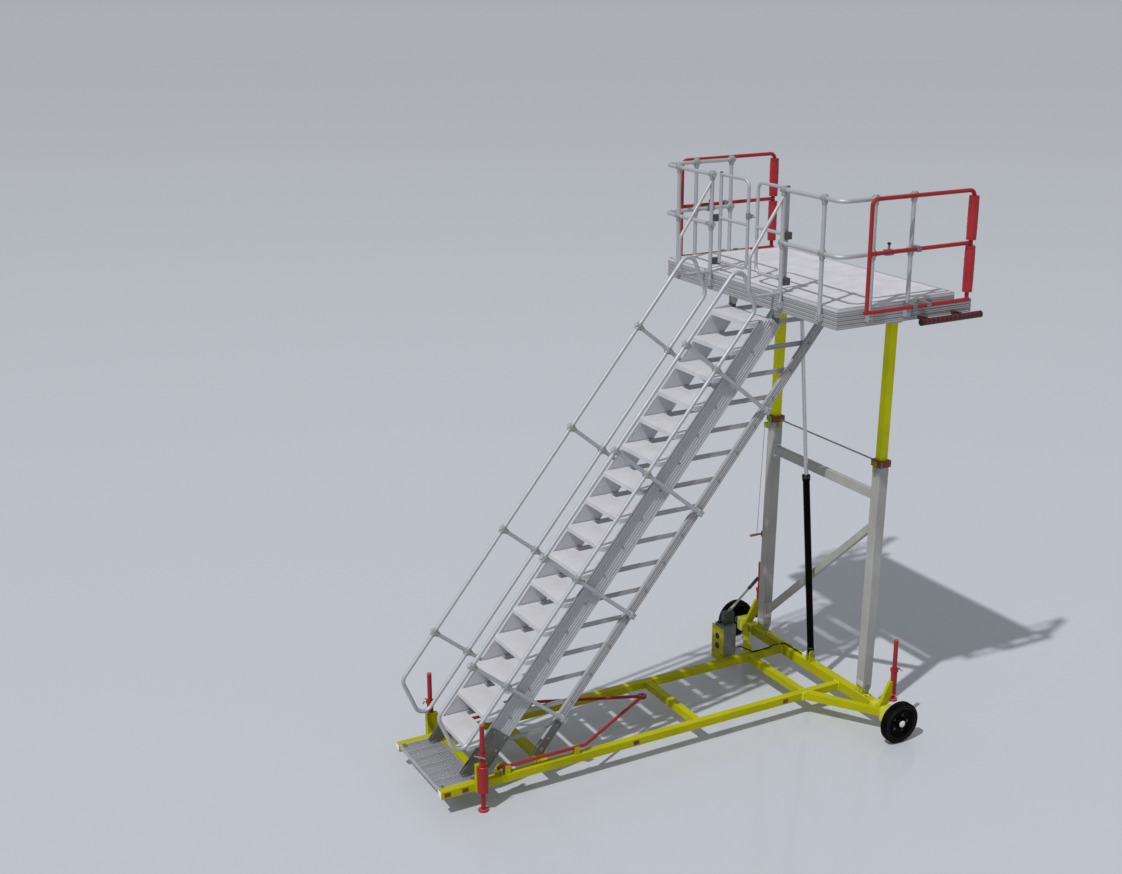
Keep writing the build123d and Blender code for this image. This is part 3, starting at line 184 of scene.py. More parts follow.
RAM_PORT = ((0, 0), (0.014, 0), (0.014, 0.018), (0.009, 0.020), (0.009, 0.034), (0, 0.034))

# Where the sun shines to, and its size in the sky
SUN_WAY, SUN_SIZE = Vector((0.60, 0.26, -1.0)), radians(1.2)


def stair_place(along, off=0.0, y=0.0, setback=0.0):
    """Point on the stair's slope plane, from the stringers' foot."""
    return FOOT + UP_SLOPE * along + OFF_SLOPE * off + Vector((setback, y, 0))


# Painted zones of carried-over pieces: where each starts, and its colour
BLOCK_ZONES = ((0.0, (0.075, 0.080, 0.077)), (0.98, (0.20, 0.20, 0.20)))
PUMP_ZONES = (
    (0.0, (0.17, 0.18, 0.19)), (0.381, (0.030, 0.050, 0.028)),
    (0.525, (0.56, 0.55, 0.52)), (0.747, (0.016, 0.016, 0.017)),
)
LOCK_ZONES = ((0.0, (0.40, 0.40, 0.41)), (0.44, (0.28, 0.075, 0.022)), (0.58, (0.40, 0.40, 0.41)))

# Nodes whose finish is finer than their slot's, some of them with painted light or shade
NODE_FINISH = {
    "stringers": "stringer_ribs",
    "lower_beams": "beam_ribs",
    "deck_fascia": "fascia_ribs",
    "lock_linkage": "lock_zones",
    "inner_legs": "leg_yellow",
    **{name: "step_metal" for name in STEP_BODIES},
}


def colour_setting(name, description, default):
    """Colour that a property group holds."""
    return FloatVectorProperty(name=name, description=description, subtype="COLOR", default=default)


def angle_setting(name, description, degrees):
    """Angle that a property group holds."""
    return FloatProperty(name=name, description=description, subtype="ANGLE", default=radians(degrees))


class PlatformPaint(PropertyGroup):
    """Colours of the paints and bare metals."""

    yellow: colour_setting("Yellow", "Chassis paint", (0.47, 0.46, 0.001))
    # painted light: the inner legs get a lighter yellow to stand in for light where the deck shades them
    inner_leg: colour_setting("Inner leg", "Bright yellow of the inner legs", (0.74, 0.73, 0.002))
    red: colour_setting("Red", "Jack, tow bar and side guard paint", (0.36, 0.022, 0.022))
    aluminium: colour_setting("Aluminium", "Mill finish tubes and trim", (0.54, 0.55, 0.57))
    tread: colour_setting("Tread", "Treads and deck", (0.66, 0.65, 0.68))
    leg: colour_setting("Leg grey", "Outer leg paint", (0.42, 0.41, 0.39))
    steel: colour_setting("Steel", "Bare steel plates and bolts", (0.17, 0.17, 0.16))
    black: colour_setting("Black", "Black paint of wheels and cylinder", (0.0012, 0.0012, 0.0014))
    lock: colour_setting("Lock", "Lock collars and handle", (0.22, 0.062, 0.020))
    padding: colour_setting("Padding", "Vinyl of the guard pads", (0.40, 0.010, 0.018))


class PlatformStage(PropertyGroup):
    """Camera, floor and light."""

    camera_place: FloatVectorProperty(
        name="Camera", description="Where the camera stands", subtype="XYZ", unit="LENGTH",
        default=(-7.845, -12.485, 8.001),
    )
    camera_yaw: angle_setting("Yaw", "Turn of the view from +X", 61.64)
    camera_pitch: angle_setting("Pitch", "Dip of the view", -17.65)
    camera_roll: angle_setting("Roll", "Lean of the view", -0.2)
    focal_pixels: FloatProperty(
        name="Focal length", description="Focal length in pixels of the whole frame", default=1512.5
    )
    floor: colour_setting("Floor", "Floor and backdrop colour", (0.56, 0.58, 0.62))
    sun_strength: FloatProperty(name="Sun", description="Strength of the key light", default=2.3)
    sky_strength: FloatProperty(name="Sky", description="Strength of the soft light", default=0.60)


def plug(socket, value):
    """Link an input to a socket, or give it a plain value."""
    if isinstance(value, bpy.types.NodeSocket):
        socket.id_data.links.new(value, socket)
    else:
        socket.default_value = value


def new_node(tree, kind, **values):
    """Shader node with its inputs filled."""
    node = tree.nodes.new("ShaderNode" + kind)
    for name, value in values.items():
        plug(node.inputs[name.replace("_", " ")], value)
    return node


def new_material(name, roughness=0.5, metallic=0.0, specular=0.5):
    """Material with its node tree and shader."""
    material = bpy.data.materials.new(name)
    material.use_nodes = True
    shader = material.node_tree.nodes["Principled BSDF"]
    shader.inputs["Roughness"].default_value = roughness
    shader.inputs["Metallic"].default_value = metallic
    shader.inputs["Specular IOR Level"].default_value = specular
    return material, material.node_tree, shader


def object_points(tree, scale=(1, 1, 1), turn=(0, 0, 0)):
    """Object coordinates through a Mapping node."""
    source = new_node(tree, "TexCoord").outputs["Object"]
    return new_node(tree, "Mapping", Vector=source, Scale=scale, Rotation=turn).outputs["Vector"]


def noise(points, scale, detail):
    """Noise value over points."""
    return new_node(points.id_data, "TexNoise", Vector=points, Scale=scale, Detail=detail).outputs["Fac"]


def spread(value, low, high):
    """Stretch the middle of a noise to a range of values."""
    node = new_node(value.id_data, "MapRange", Value=value, From_Min=0.3, From_Max=0.7, To_Min=low, To_Max=high)
    return node.outputs["Result"]


def shades(value, stops):
    """Colour ramp from (place, colour) stops."""
    node = new_node(value.id_data, "ValToRGB", Fac=value)
    ramp = node.color_ramp
    while len(ramp.elements) < len(stops):
        ramp.elements.new(0.5)
    for element, (place, colour) in zip(ramp.elements, stops):
        element.position = place
        element.color = (*colour, 1)
    return node.outputs["Color"]


def mixed(value, first, second):
    """Mix two colours, each a socket or a plain colour."""
    node = new_node(value.id_data, "Mix", Factor=value)
    node.data_type = "RGBA"
    for socket, colour in zip((node.inputs[6], node.inputs[7]), (first, second)):
        plug(socket, colour if isinstance(colour, bpy.types.NodeSocket) else (*colour, 1))
    return node.outputs[2]


def bumped(shader, height, strength, distance):
    """Give a shader a bump."""
    node = new_node(shader.id_data, "Bump", Height=height, Strength=strength, Distance=distance)
    plug(shader.inputs["Normal"], node.outputs["Normal"])


def split(tree):
    """Object coordinates as three values."""
    return new_node(tree, "SeparateXYZ", Vector=object_points(tree)).outputs


def worked(operation, *values, kind="Math"):
    """Math node over a socket, and more sockets or numbers."""
    node = new_node(values[0].id_data, kind)
    node.operation = operation
    for socket, value in zip(node.inputs, values):
        plug(socket, value)
    return node.outputs["Value"]


def cells(points, scale):
    """Outputs of a cell pattern over points."""
    return new_node(points.id_data, "TexVoronoi", Vector=points, Scale=scale).outputs


def coat(shader, colour, roughness=None):
    """Wire a colour to a shader, and a roughness where it varies."""
    plug(shader.inputs["Base Color"], colour)
    if roughness is not None:
        plug(shader.inputs["Roughness"], roughness)


def tint(colour, factor):
    """Lighter or darker copy of a colour."""
    return tuple(min(1.0, channel * factor) for channel in colour)


def tones(value, colour, low, high, edge=0.3):
    """Darker to lighter tones of a colour, between a lower edge of the value and its mirror."""
    return shades(value, ((edge, tint(colour, low)), (1 - edge, tint(colour, high))))


def painted_metal(name, colour, gloss, specular=0.3):
    """Sprayed paint: uneven film, orange peel, and dull scuffs."""
    material, tree, shader = new_material(name, specular=specular)
    points = object_points(tree)
    film = noise(points, 2.3, 4)
    scuff = noise(points, 38, 6)
    base = tones(film, colour, 0.86, 1.1)
    worn = mixed(spread(scuff, 0.0, 0.22), base, tint(colour, 0.7))
    coat(shader, worn, spread(scuff, gloss - 0.08, gloss + 0.16))
    bumped(shader, noise(points, 420, 2), 0.08, 0.0008)
    return material


def brushed_metal(name, colour, along, gloss, metallic):
    """Drawn or rolled metal: fine streaks along one direction, and light handling marks."""
    material, tree, shader = new_material(name, metallic=metallic)
    lean = (0, -X.angle(along) if along.z else 0, 0)
    streaks = noise(object_points(tree, (1.2, 260, 260), lean), 1.0, 3)
    marks = noise(object_points(tree), 9, 5)
    base = tones(streaks, colour, 0.84, 1.12, 0.25)
    handled = mixed(spread(marks, 0.0, 0.3), base, tint(colour, 0.8))
    coat(shader, handled, spread(marks, gloss - 0.07, gloss + 0.12))
    bumped(shader, streaks, 0.06, 0.0006)
    return material


def tread_metal(name, colour):
    """Pale blasted aluminium underfoot: fine grain and faint traffic marks."""
    material, tree, shader = new_material(name, roughness=0.6)
    points = object_points(tree)
    grain = noise(points, 700, 2)
    traffic = noise(points, 5, 5)
    base = tones(traffic, colour, 0.9, 1.05, 0.32)
    coat(shader, mixed(spread(grain, 0, 0.12), base, tint(colour, 0.6)))
    bumped(shader, grain, 0.25, 0.0006)
    return material


def step_metal(name, colour, arm_shade_colour):
    """Tread finish, and the arms behind it in darker streaked tones, painted as shade."""
    material = tread_metal(name, colour)
    tree = material.node_tree
    shader = tree.nodes["Principled BSDF"]
    x, _, z = split(tree)
    slant = UP_SLOPE.x / UP_SLOPE.z
    behind = worked("SUBTRACT", x, worked("MULTIPLY", z, slant))
    arms = worked("GREATER_THAN", behind, FOOT.x - (FOOT.z + TREAD_RISE) * slant + TREAD_DEPTH)
    tread = shader.inputs["Base Color"].links[0].from_socket
    streaks = noise(object_points(tree, (2, 90, 90)), 1.0, 3)
    # painted shade: the arms get a darker colour to stand in for the shade on their sides
    arm_shade = tones(streaks, arm_shade_colour, 0.8, 1.15)
    coat(shader, mixed(arms, tread, arm_shade))
    return material


def ribbed_metal(name, colour, across, origin, pitch, trough_shade):
    """Extrusion with fine ribs: painted shade darkens the grooves between lighter crests, and handling marks."""
    material, tree, shader = new_material(name, metallic=0.25)
    along = worked("DOT_PRODUCT", object_points(tree), across, kind="VectorMath")
    place = worked("SUBTRACT", along, origin.dot(across))
    wave = worked("COSINE", worked("MULTIPLY", place, 2 * pi / pitch))
    crest = worked("MULTIPLY_ADD", wave, -0.5, 0.5)
    # painted shade: the grooves between the ribs take a darker tone to stand in for their shadow
    ribs = tones(crest, colour, trough_shade, 1.05, 0.25)
    marks = noise(object_points(tree), 11, 5)
    handled = mixed(spread(marks, 0.0, 0.3), ribs, tint(colour, 0.7))
    coat(shader, handled, spread(marks, 0.42, 0.58))
    bumped(shader, crest, 0.5, 0.0015)
    return material


def galvanised_steel(name, colour, metallic):
    """Zinc spangle on steel."""
    material, tree, shader = new_material(name, roughness=0.48, metallic=metallic)
    points = object_points(tree)
    spangle = cells(points, 140)["Color"]
    coat(shader, tones(spangle, colour, 0.75, 1.2, 0.1))
    bumped(shader, noise(points, 60, 4), 0.1, 0.0008)
    return material


def moulded(name, colour, roughness, specular=0.4):
    """Rubber or plastic with a fine moulded grain and a dusty bloom."""
    material, tree, shader = new_material(name, roughness=roughness, specular=specular)
    points = object_points(tree)
    bloom = noise(points, 7, 5)
    dusty = tuple(min(1, channel * 1.5 + 0.003) for channel in colour)
    coat(shader, shades(bloom, ((0.35, colour), (0.72, dusty))))
    bumped(shader, noise(points, 900, 2), 0.2, 0.0005)
    return material


def chromed(name):
    """Hard chrome with faint grinding rings."""
    material, tree, shader = new_material(name, roughness=0.16, metallic=1.0)
    rings = noise(object_points(tree, (30, 30, 900)), 1.0, 2)
    ground = shades(rings, ((0.3, (0.52, 0.53, 0.54)), (0.7, (0.68, 0.69, 0.7))))
    coat(shader, ground, spread(rings, 0.12, 0.24))
    return material


def zoned(name, axis, start, stops, roughness, metallic=0.0):
    """Painted zones along one axis, measured from the middle plane across it, with a handled surface."""
    material, tree, shader = new_material(name, roughness, metallic)
    place = worked("ABSOLUTE", split(tree)[axis])
    zones = shades(worked("SUBTRACT", place, start), stops)
    zones.node.color_ramp.interpolation = "CONSTANT"
    points = object_points(tree)
    grime = noise(points, 24, 5)
    handled = mixed(spread(grime, 0.0, 0.3), zones, (0.05, 0.05, 0.045))
    coat(shader, handled, spread(grime, roughness - 0.1, roughness + 0.12))
    bumped(shader, noise(points, 380, 2), 0.1, 0.0006)
    return material


def spiral_rubber(name, first, second, pitch):
    """Two rubbers wound round the side bumpers."""
    material, tree, shader = new_material(name, roughness=0.58)
    x, y, z = split(tree)
    out = worked("SUBTRACT", worked("ABSOLUTE", y), BUMPER_Y)
    turn = worked("ARCTAN2", out, worked("SUBTRACT", z, BUMPER_Z))
    phase = worked("ADD", worked("MULTIPLY", x, 2 * pi / pitch), turn)
    bands = shades(worked("SINE", phase), ((0.10, first), (0.22, second)))
    dust = noise(object_points(tree), 30, 5)
    coat(shader, mixed(spread(dust, 0.0, 0.2), bands, (0.07, 0.03, 0.03)))
    bumped(shader, noise(object_points(tree), 800, 2), 0.2, 0.0005)
    return material


def vinyl(name, colour):
    """Soft coated cloth: leather grain, a dull sheen and slight fading."""
    material, tree, shader = new_material(name, roughness=0.5)
    points = object_points(tree)
    fade = noise(points, 6, 5)
    base = tones(fade, colour, 0.82, 1.12)
    coat(shader, base, spread(fade, 0.42, 0.56))
    shader.inputs["Sheen Weight"].default_value = 0.08
    bumped(shader, cells(points, 420)["Distance"], 0.25, 0.0006)
    return material


def make_finishes():
    """One material for each slot of the record, and those of single nodes and small fittings."""
    colours = bpy.context.scene.platform_paint
    made = {
        "yellow_paint": (painted_metal, colours.yellow, 0.42, 0.12),
        # painted light: lighter yellow of the inner legs stands in for light under the deck's shade
        "leg_yellow": (painted_metal, colours.inner_leg, 0.42, 0.12),
        "red_paint": (painted_metal, colours.red, 0.36),
        "aluminium": (brushed_metal, colours.aluminium, UP_SLOPE, 0.54, 0.5),
        "tread_grey": (tread_metal, colours.tread),
        "plate_steel": (brushed_metal, colours.steel, X, 0.5, 0.5),
        "galvanised": (galvanised_steel, (0.50, 0.50, 0.52), 0.35),
        "leg_grey": (painted_metal, colours.leg, 0.45),
        "tyre": (moulded, (0.0015, 0.0015, 0.0017), 0.75, 0.05),
        "black_paint": (painted_metal, colours.black, 0.45, 0.05),
        "chrome": (chromed,),
        "block_black": (zoned, 1, 0.45, BLOCK_ZONES, 0.55),
        "bumper_red": (spiral_rubber, (0.040, 0.005, 0.007), (0.13, 0.009, 0.013), 0.055),
        "hose_black": (moulded, (0.006, 0.006, 0.007), 0.55, 0.2),
        "lock_orange": (painted_metal, colours.lock, 0.48),
        "pump_grey": (zoned, 2, 0.28, PUMP_ZONES, 0.46),
        "lock_zones": (zoned, 2, 1.0, LOCK_ZONES, 0.5, 0.3),
        # the darker arm colour of the steps is painted shade
        "step_metal": (step_metal, colours.tread, (0.36, 0.36, 0.37)),
        # last number of each ribbed finish: how dark the painted shade in the grooves is
        "stringer_ribs": (ribbed_metal, (0.78, 0.78, 0.82), OFF_SLOPE, FOOT, 0.015, 0.34),
        "beam_ribs": (ribbed_metal, (0.56, 0.56, 0.57), OFF_SLOPE, BEAM_FOOT, 0.021, 0.5),
        "fascia_ribs": (ribbed_metal, (0.50, 0.50, 0.51), Z, Z * FASCIA_Z, 0.020, 0.55),
        "zinc": (brushed_metal, (0.34, 0.34, 0.33), X, 0.42, 0.8),
        "fitting": (galvanised_steel, (0.38, 0.41, 0.38), 0.5),
        "reflector": (moulded, (0.15, 0.025, 0.016), 0.3),
        "cap_white": (moulded, (0.62, 0.62, 0.60), 0.42),
        "cap_black": (moulded, (0.010, 0.010, 0.011), 0.5, 0.25),
        "latch_green": (painted_metal, (0.34, 0.38, 0.02), 0.42),
        "pad_vinyl": (vinyl, colours.padding),
    }
    return {name: make(name, *values) for name, (make, *values) in made.items()}


class Shape:
    """Mesh under way: closed forms are added to it, then it becomes a piece on a body."""

    def __init__(self):
        self.bm = bmesh.new()

    def turned(self, at, axis, profile, steps=20, ring=False):
        """Spin a half section of (radius, height) points about an axis through a point."""
        axis = Vector(axis).normalized()
        side = axis.orthogonal().normalized()
        verts = [self.bm.verts.new(at + side * radius + axis * height) for radius, height in profile]
        pairs = list(zip(verts, verts[1:]))
        if ring:
            pairs.append((verts[-1], verts[0]))
        edges = [self.bm.edges.new(pair) for pair in pairs]
        bmesh.ops.spin(
            self.bm, geom=verts + edges, cent=at, axis=axis, angle=2 * pi, steps=steps, use_merge=True
        )

    def bolt(self, at, axis, size=0.010, height=0.010):
        """Hexagon head on a washer."""
        washer = 0.25 * height
        self.turned(at, axis, ((0, -0.001), (1.6 * size, -0.001), (1.6 * size, washer), (0, washer)), 14)
        self.turned(at, axis, ((0, 0), (size, 0), (size, 0.8 * height), (0.8 * size, height), (0, height)), 6)

    def pair(self, at, shift, axis, size=0.010, height=0.010):
        """Two bolts, one either way from a point."""
        for way in SIDES:
            self.bolt(at + shift * way, axis, size, height)

    def band(self, at, axis, inner, outer, length, steps=20):
        """Ring with eased edges, centred on a point."""
        ease = min(0.25 * (outer - inner), 0.2 * length)
        half = length / 2
        section = (
            (inner, -half), (outer - ease, -half), (outer, ease - half),
            (outer, half - ease), (outer - ease, half), (inner, half),
        )
        self.turned(at, axis, section, steps, ring=True)

    def rod(self, start, end, radius, steps=12):
        """Round rod with eased ends."""
        run = end - start
        ease = min(0.35 * radius, 0.3 * run.length)
        section = (
            (0, 0), (radius - ease, 0), (radius, ease),
            (radius, run.length - ease), (radius - ease, run.length), (0, run.length),
        )
        self.turned(start, run, section, steps)

    def bead(self, start, end, radius=0.0045):
        """Weld bead with its ripples."""
        run = end - start
        count = max(3, round(run.length / 0.007))
        pitch = run.length / count
        ripples = [(radius * (0.78 + 0.22 * (number % 2)), pitch * number) for number in range(count + 1)]
        self.turned(start, run, [(0, 0), *ripples, (0, run.length)], 6)

    def block(self, middle, size, turn=None, ease=0.003):
        """Block with rounded edges."""
        place = Matrix.Translation(middle) @ (turn.to_4x4() if turn else Matrix()) @ Matrix.Diagonal((*size, 1))
        made = bmesh.ops.create_cube(self.bm, size=1, matrix=place)
        edges = list({edge for vert in made["verts"] for edge in vert.link_edges})
        bmesh.ops.bevel(
            self.bm, geom=edges, offset=ease, offset_type="OFFSET", segments=2, profile=0.5,
            affect="EDGES", material=-1,
        )

    def done(self, name, slot, body, finish=None):
        """Close the mesh and make it a piece on a body, with a named finish or the frame's plain slot material."""
        bmesh.ops.remove_doubles(self.bm, verts=self.bm.verts, dist=1e-5)
        bmesh.ops.recalc_face_normals(self.bm, faces=self.bm.faces)
        mesh = bpy.data.meshes.new(name)
        self.bm.to_mesh(mesh)
        self.bm.free()
        mesh.shade_smooth()
        mesh.set_sharp_from_angle(angle=radians(34))
        mesh.materials.append(bpy.data.materials[finish or slot])
        piece = bpy.data.objects.new(name, mesh)
        bpy.context.scene.collection.objects.link(piece)
        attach(piece, body)
        return piece


class PLATFORM_OT_finishes(Operator):
    """Give every carried-over piece its finish"""

    bl_idname = "platform.finishes"
    bl_label = "Finishes"

    def execute(self, context):
        finishes = make_finishes()
        for name, node in frame["nodes"].items():
            node.data.materials.clear()
            node.data.materials.append(finishes[NODE_FINISH.get(name, NODE_SLOT[name])])
        return {"FINISHED"}


class PLATFORM_OT_treads(Operator):
    """Rib every tread across its width"""

    bl_idname = "platform.treads"
    bl_label = "Treads"
    ribs: IntProperty(name="Ribs", description="Ribs on a tread", default=11, min=2)

    def execute(self, context):
        for body in STEP_BODIES:
            low, high = (Vector(corner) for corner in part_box(body))
            shape = Shape()
            for number in range(self.ribs):
                x = low.x + RIB_MARGIN + RIB_PITCH * number
                shape.block(Vector((x, 0, high.z)), RIB_SIZE, ease=0.0008)
            shape.done(f"ribs_{body}", "tread_grey", body)
        return {"FINISHED"}


class PLATFORM_OT_deck_trim(Operator):
    """Edge strips and screws of the deck"""

    bl_idname = "platform.deck_trim"
    bl_label = "Deck trim"

    def execute(self, context):
        strips, screws = Shape(), Shape()
        for x in SCREW_ROWS:
            half = (DECK_HALF if x < DECK_STEP else DECK_REAR_HALF) - 0.06
            for number in range(-5, 6):
                screws.turned(Vector((x, number * half / 5, DECK_TOP)), Z, DECK_SCREW, 8)
        edges = [(DECK_FRONT + STRIP / 2, 0, STRIP, 2.93), (DECK_REAR - STRIP / 2, 0, STRIP, 2.80)]
        for side in SIDES:
            edges.append(((DECK_FRONT + DECK_STEP) / 2, side * (DECK_HALF - STRIP / 2), 1.06, STRIP))
            edges.append(((DECK_STEP + DECK_REAR) / 2, side * (DECK_REAR_HALF - STRIP / 2), 0.42, STRIP))
        for x, y, length, width in edges:
            strips.block(Vector((x, y, DECK_TOP)), (length, width, 0.005), ease=0.0015)
        strips.done("deck_strips", "aluminium", "platform")
        screws.done("deck_screws", "plate_steel", "platform", "zinc")
        return {"FINISHED"}


class PLATFORM_OT_stair_bolts(Operator):
    """Bolts at the step pivots and on the foot plates, and the pins of the stair's feet"""

    bl_idname = "platform.stair_bolts"
    bl_label = "Stair bolts"

    def execute(self, context):
        stringer, beam, pins, feet = Shape(), Shape(), Shape(), Shape()
        for side in SIDES:
            out = Y * side
            for place in STEP_PLACES[1:]:
                stringer.bolt(stair_place(place, 0, side * STRINGER_FACE), out, 0.009, 0.009)
                beam.bolt(stair_place(place, 0, side * STRINGER_FACE, BEAM_SETBACK), out, 0.009, 0.009)
            plate = side * (STRINGER_FACE + PLATE)
            for place in FOOT_BOLTS:
                feet.pair(stair_place(place, 0, plate), OFF_SLOPE * 0.075, out, 0.010, 0.008)
            for place in BEAM_BOLTS:
                beam.bolt(stair_place(place, 0, plate, BEAM_SETBACK), out, 0.009, 0.008)
            for foot in (FOOT, BEAM_FOOT):
                at = Vector((foot.x, side * FOOT_FACE, foot.z))
                pins.turned(at, out, FOOT_PIN)
                pins.rod(at + out * 0.003, at + out * 0.010, 0.014)
                pins.rod(at + out * 0.007 - Z * 0.026, at + out * 0.007 + Z * 0.026, 0.003, 8)
        stringer.done("stringer_bolts", "plate_steel", "stringers", "zinc")
        feet.done("foot_plate_bolts", "plate_steel", "stringers")
        beam.done("beam_bolts", "plate_steel", "lower_beams")
        pins.done("foot_pins", "plate_steel", "chassis", "zinc")
        return {"FINISHED"}


class PLATFORM_OT_tube_fittings(Operator):
    """Cast fittings where rails cross posts, and the clamps' bolts"""

    bl_idname = "platform.tube_fittings"
    bl_label = "Tube fittings"

    def fitting(self, shape, at, rail, post, out):
        """Two sockets with set screws."""
        shape.band(at, rail, TUBE + 0.0004, 0.0290, 0.080)
        shape.band(at - post * 0.030, post, TUBE + 0.0004, 0.0286, 0.050)
        for shift in (-0.024, 0.024):
            shape.rod(at + rail * shift + out * 0.026, at + rail * shift + out * 0.033, 0.006, 8)

    def execute(self, context):
        stair, guard, bolts, clamps = Shape(), Shape(), Shape(), Shape()
        for side in SIDES:
            out = Y * side
            for place in POST_PLACES:
                for height in RAIL_HEIGHTS:
                    at = stair_place(place, height, side * HANDRAIL_Y)
                    self.fitting(stair, at, UP_SLOPE, OFF_SLOPE, out)
                clamp = stair_place(place, POST_DROP, side * (HANDRAIL_Y + TUBE))
                bolts.pair(clamp, UP_SLOPE * 0.020, out, 0.008)
            for y in FRONT_POSTS:
                for z in GUARD_RAILS:
                    self.fitting(guard, Vector((POST_X, side * y, z)), Y, Z, -X)
                clamps.pair(Vector((DECK_FRONT - CLAMP_OUT, side * y, CLAMP_Z)), Z * 0.021, -X, 0.008)
            for x in SIDE_POSTS:
                for z in GUARD_RAILS:
                    self.fitting(guard, Vector((x, side * POST_Y, z)), X, Z, out)
                clamps.pair(Vector((x, side * (DECK_HALF + CLAMP_OUT), CLAMP_Z)), Z * 0.021, out, 0.008)
        stair.done("handrail_fittings", "aluminium", "lower_beams", "fitting")
        bolts.done("handrail_clamp_bolts", "plate_steel", "lower_beams", "zinc")
        guard.done("guard_fittings", "aluminium", "platform", "fitting")
        clamps.done("guard_clamp_bolts", "plate_steel", "platform", "zinc")
        return {"FINISHED"}


class PLATFORM_OT_gate_fittings(Operator):
    """Hinge screws, latch and tube caps of the gates"""

    bl_idname = "platform.gate_fittings"
    bl_label = "Gate fittings"

    def execute(self, context):
        screws, latch = Shape(), Shape()
        for side in SIDES:
            for z in GATE_RAILS:
                screws.pair(Vector((GATE_X + 0.0185, side * HINGE_Y, z)), Z * 0.022, X, 0.006, 0.006)
        screws.done("hinge_screws", "plate_steel", "platform", "zinc")
        for name, side in NAMED_SIDES:
            caps = Shape()
            for z, way in GATE_ENDS:
                caps.turned(Vector((GATE_X, side * GATE_Y, z)), way, GATE_CAP)
            caps.done(f"gate_caps_{name}", "block_black", f"gate_{name}", "cap_black")
        lever = LATCH - Y * 0.038
        latch.band(LATCH, Z, 0.0172, 0.024, 0.060)
        latch.block(lever, (0.026, 0.040, 0.044))
        latch.rod(LATCH - Y * 0.050, LATCH - Y * 0.120, 0.007)
        latch.rod(lever + X * 0.008, lever + X * 0.045 + Z * 0.012, 0.005)
        latch.done("gate_latch", "plate_steel", "gate_left", "zinc")
        return {"FINISHED"}


class PLATFORM_OT_guard_pads(Operator):
    """Padded sleeves on the side guards' rear uprights"""

    bl_idname = "platform.guard_pads"
    bl_label = "Guard pads"
    bulge: FloatProperty(
        name="Bulge", description="Radius of a pad at its middle", unit="LENGTH", default=0.0505
    )

    def execute(self, context):
        for name, side in NAMED_SIDES:
            for number, (low, high) in enumerate(PAD_SPANS, 1):
                self.sleeve(f"guard_pad_{name}_{number}", f"side_guard_{name}", side, low, high)
        return {"FINISHED"}

    def sleeve(self, name, body, side, low, high):
        """Crowned tube of padding: drawn in at its hems, with a lapped seam towards the deck."""
        length = high - low
        rings = 40
        section = [(PAD_BORE, 0.004), (PAD_LIP, 0.0)]
        for number in range(rings + 1):
            part = number / rings
            crown = self.bulge - 0.006 * abs(2 * part - 1) ** 6
            ripple = 0.0006 * sin(part * 31 + side) + 0.0004 * sin(part * 57 + low)
            section.append((crown + ripple, 0.006 + part * (length - 0.012)))
        section += [(PAD_LIP, length), (PAD_BORE, length - 0.004)]
        shape = Shape()
        at = Vector((GUARD_X, side * GUARD_Y, low))
        shape.turned(at, Z, section, 40, ring=True)
        for vert in shape.bm.verts:
            arm = Vector((vert.co.x - at.x, vert.co.y - at.y, 0))
            if arm.length > 0.042:
                lean = arm.normalized().dot(Vector((0.6, -0.8 * side, 0)))
                pinch = max(0.0, (lean - 0.985) / 0.015)
                vert.co -= arm * 0.07 * pinch
        pad = shape.done(name, "red_paint", body, "pad_vinyl")
        hems = Shape()
        for z in (low + 0.009, high - 0.009):
            hems.band(Vector((at.x, at.y, z)), Z, 0.040, self.bulge - 0.0015, 0.008, 40)
        hems.done(f"{name}_hems", "red_paint", body, "pad_vinyl")


class PLATFORM_OT_guide_fittings(Operator):
    """Screws of the side guards' guides, the rail locks' knobs and the bumpers' end caps"""

    bl_idname = "platform.guide_fittings"
    bl_label = "Guide fittings"

    def execute(self, context):
        screws, knobs = Shape(), Shape()
        for side in SIDES:
            out = Y * side
            for x, z in GUIDES:
                screws.pair(Vector((x, side * GUIDE_FACE, z)), X * 0.015, out, 0.0045, 0.005)
            knobs.turned(Vector((RAIL_LOCK_X, side * POST_Y, RAIL_LOCK_TOP)), Z, KNOB, 16)
            lock = Vector((RAIL_LOCK_X, side * (POST_Y + 0.026), GUARD_RAILS[1]))
            screws.pair(lock, X * 0.032, out, 0.005, 0.005)
            for end, way in zip(BUMPER_ENDS, (-X, X)):
                knobs.turned(Vector((end, side * BUMPER_Y, BUMPER_Z)), way, BUMPER_CAP, 24)
        screws.done("guide_screws", "plate_steel", "platform", "zinc")
        knobs.done("knobs_and_caps", "block_black", "platform", "cap_black")
        return {"FINISHED"}


class PLATFORM_OT_wheel_fittings(Operator):
    """Nuts, hub caps and sidewall ribs of the wheels"""

    bl_idname = "platform.wheel_fittings"
    bl_label = "Wheel fittings"
    nuts: IntProperty(name="Nuts", description="Nuts on a wheel", default=5, min=3)

    def execute(self, context):
        for name, side in NAMED_SIDES:
            out = Y * side
            middle = Vector((AXLE_X, side * WHEEL_Y, WHEEL_RADIUS))
            nuts, cap, ribs = Shape(), Shape(), Shape()
            for number in range(self.nuts):
                angle = 2 * pi * number / self.nuts
                arm = Vector((cos(angle), 0, sin(angle)))
                nuts.bolt(middle + arm * NUT_CIRCLE + out * 0.011, out, 0.011, 0.016)
            cap.turned(middle + out * 0.048, out, HUB_CAP, 24)
            for radius in WALL_RIBS:
                for way in (out, -out):
                    ribs.band(middle + way * 0.045, out, radius - 0.004, radius, 0.004, 64)
            nuts.done(f"wheel_nuts_{name}", "black_paint", f"wheel_{name}")
            cap.done(f"hub_cap_{name}", "plate_steel", f"wheel_{name}", "cap_white")
            ribs.done(f"sidewall_ribs_{name}", "tyre", f"wheel_{name}")
        return {"FINISHED"}


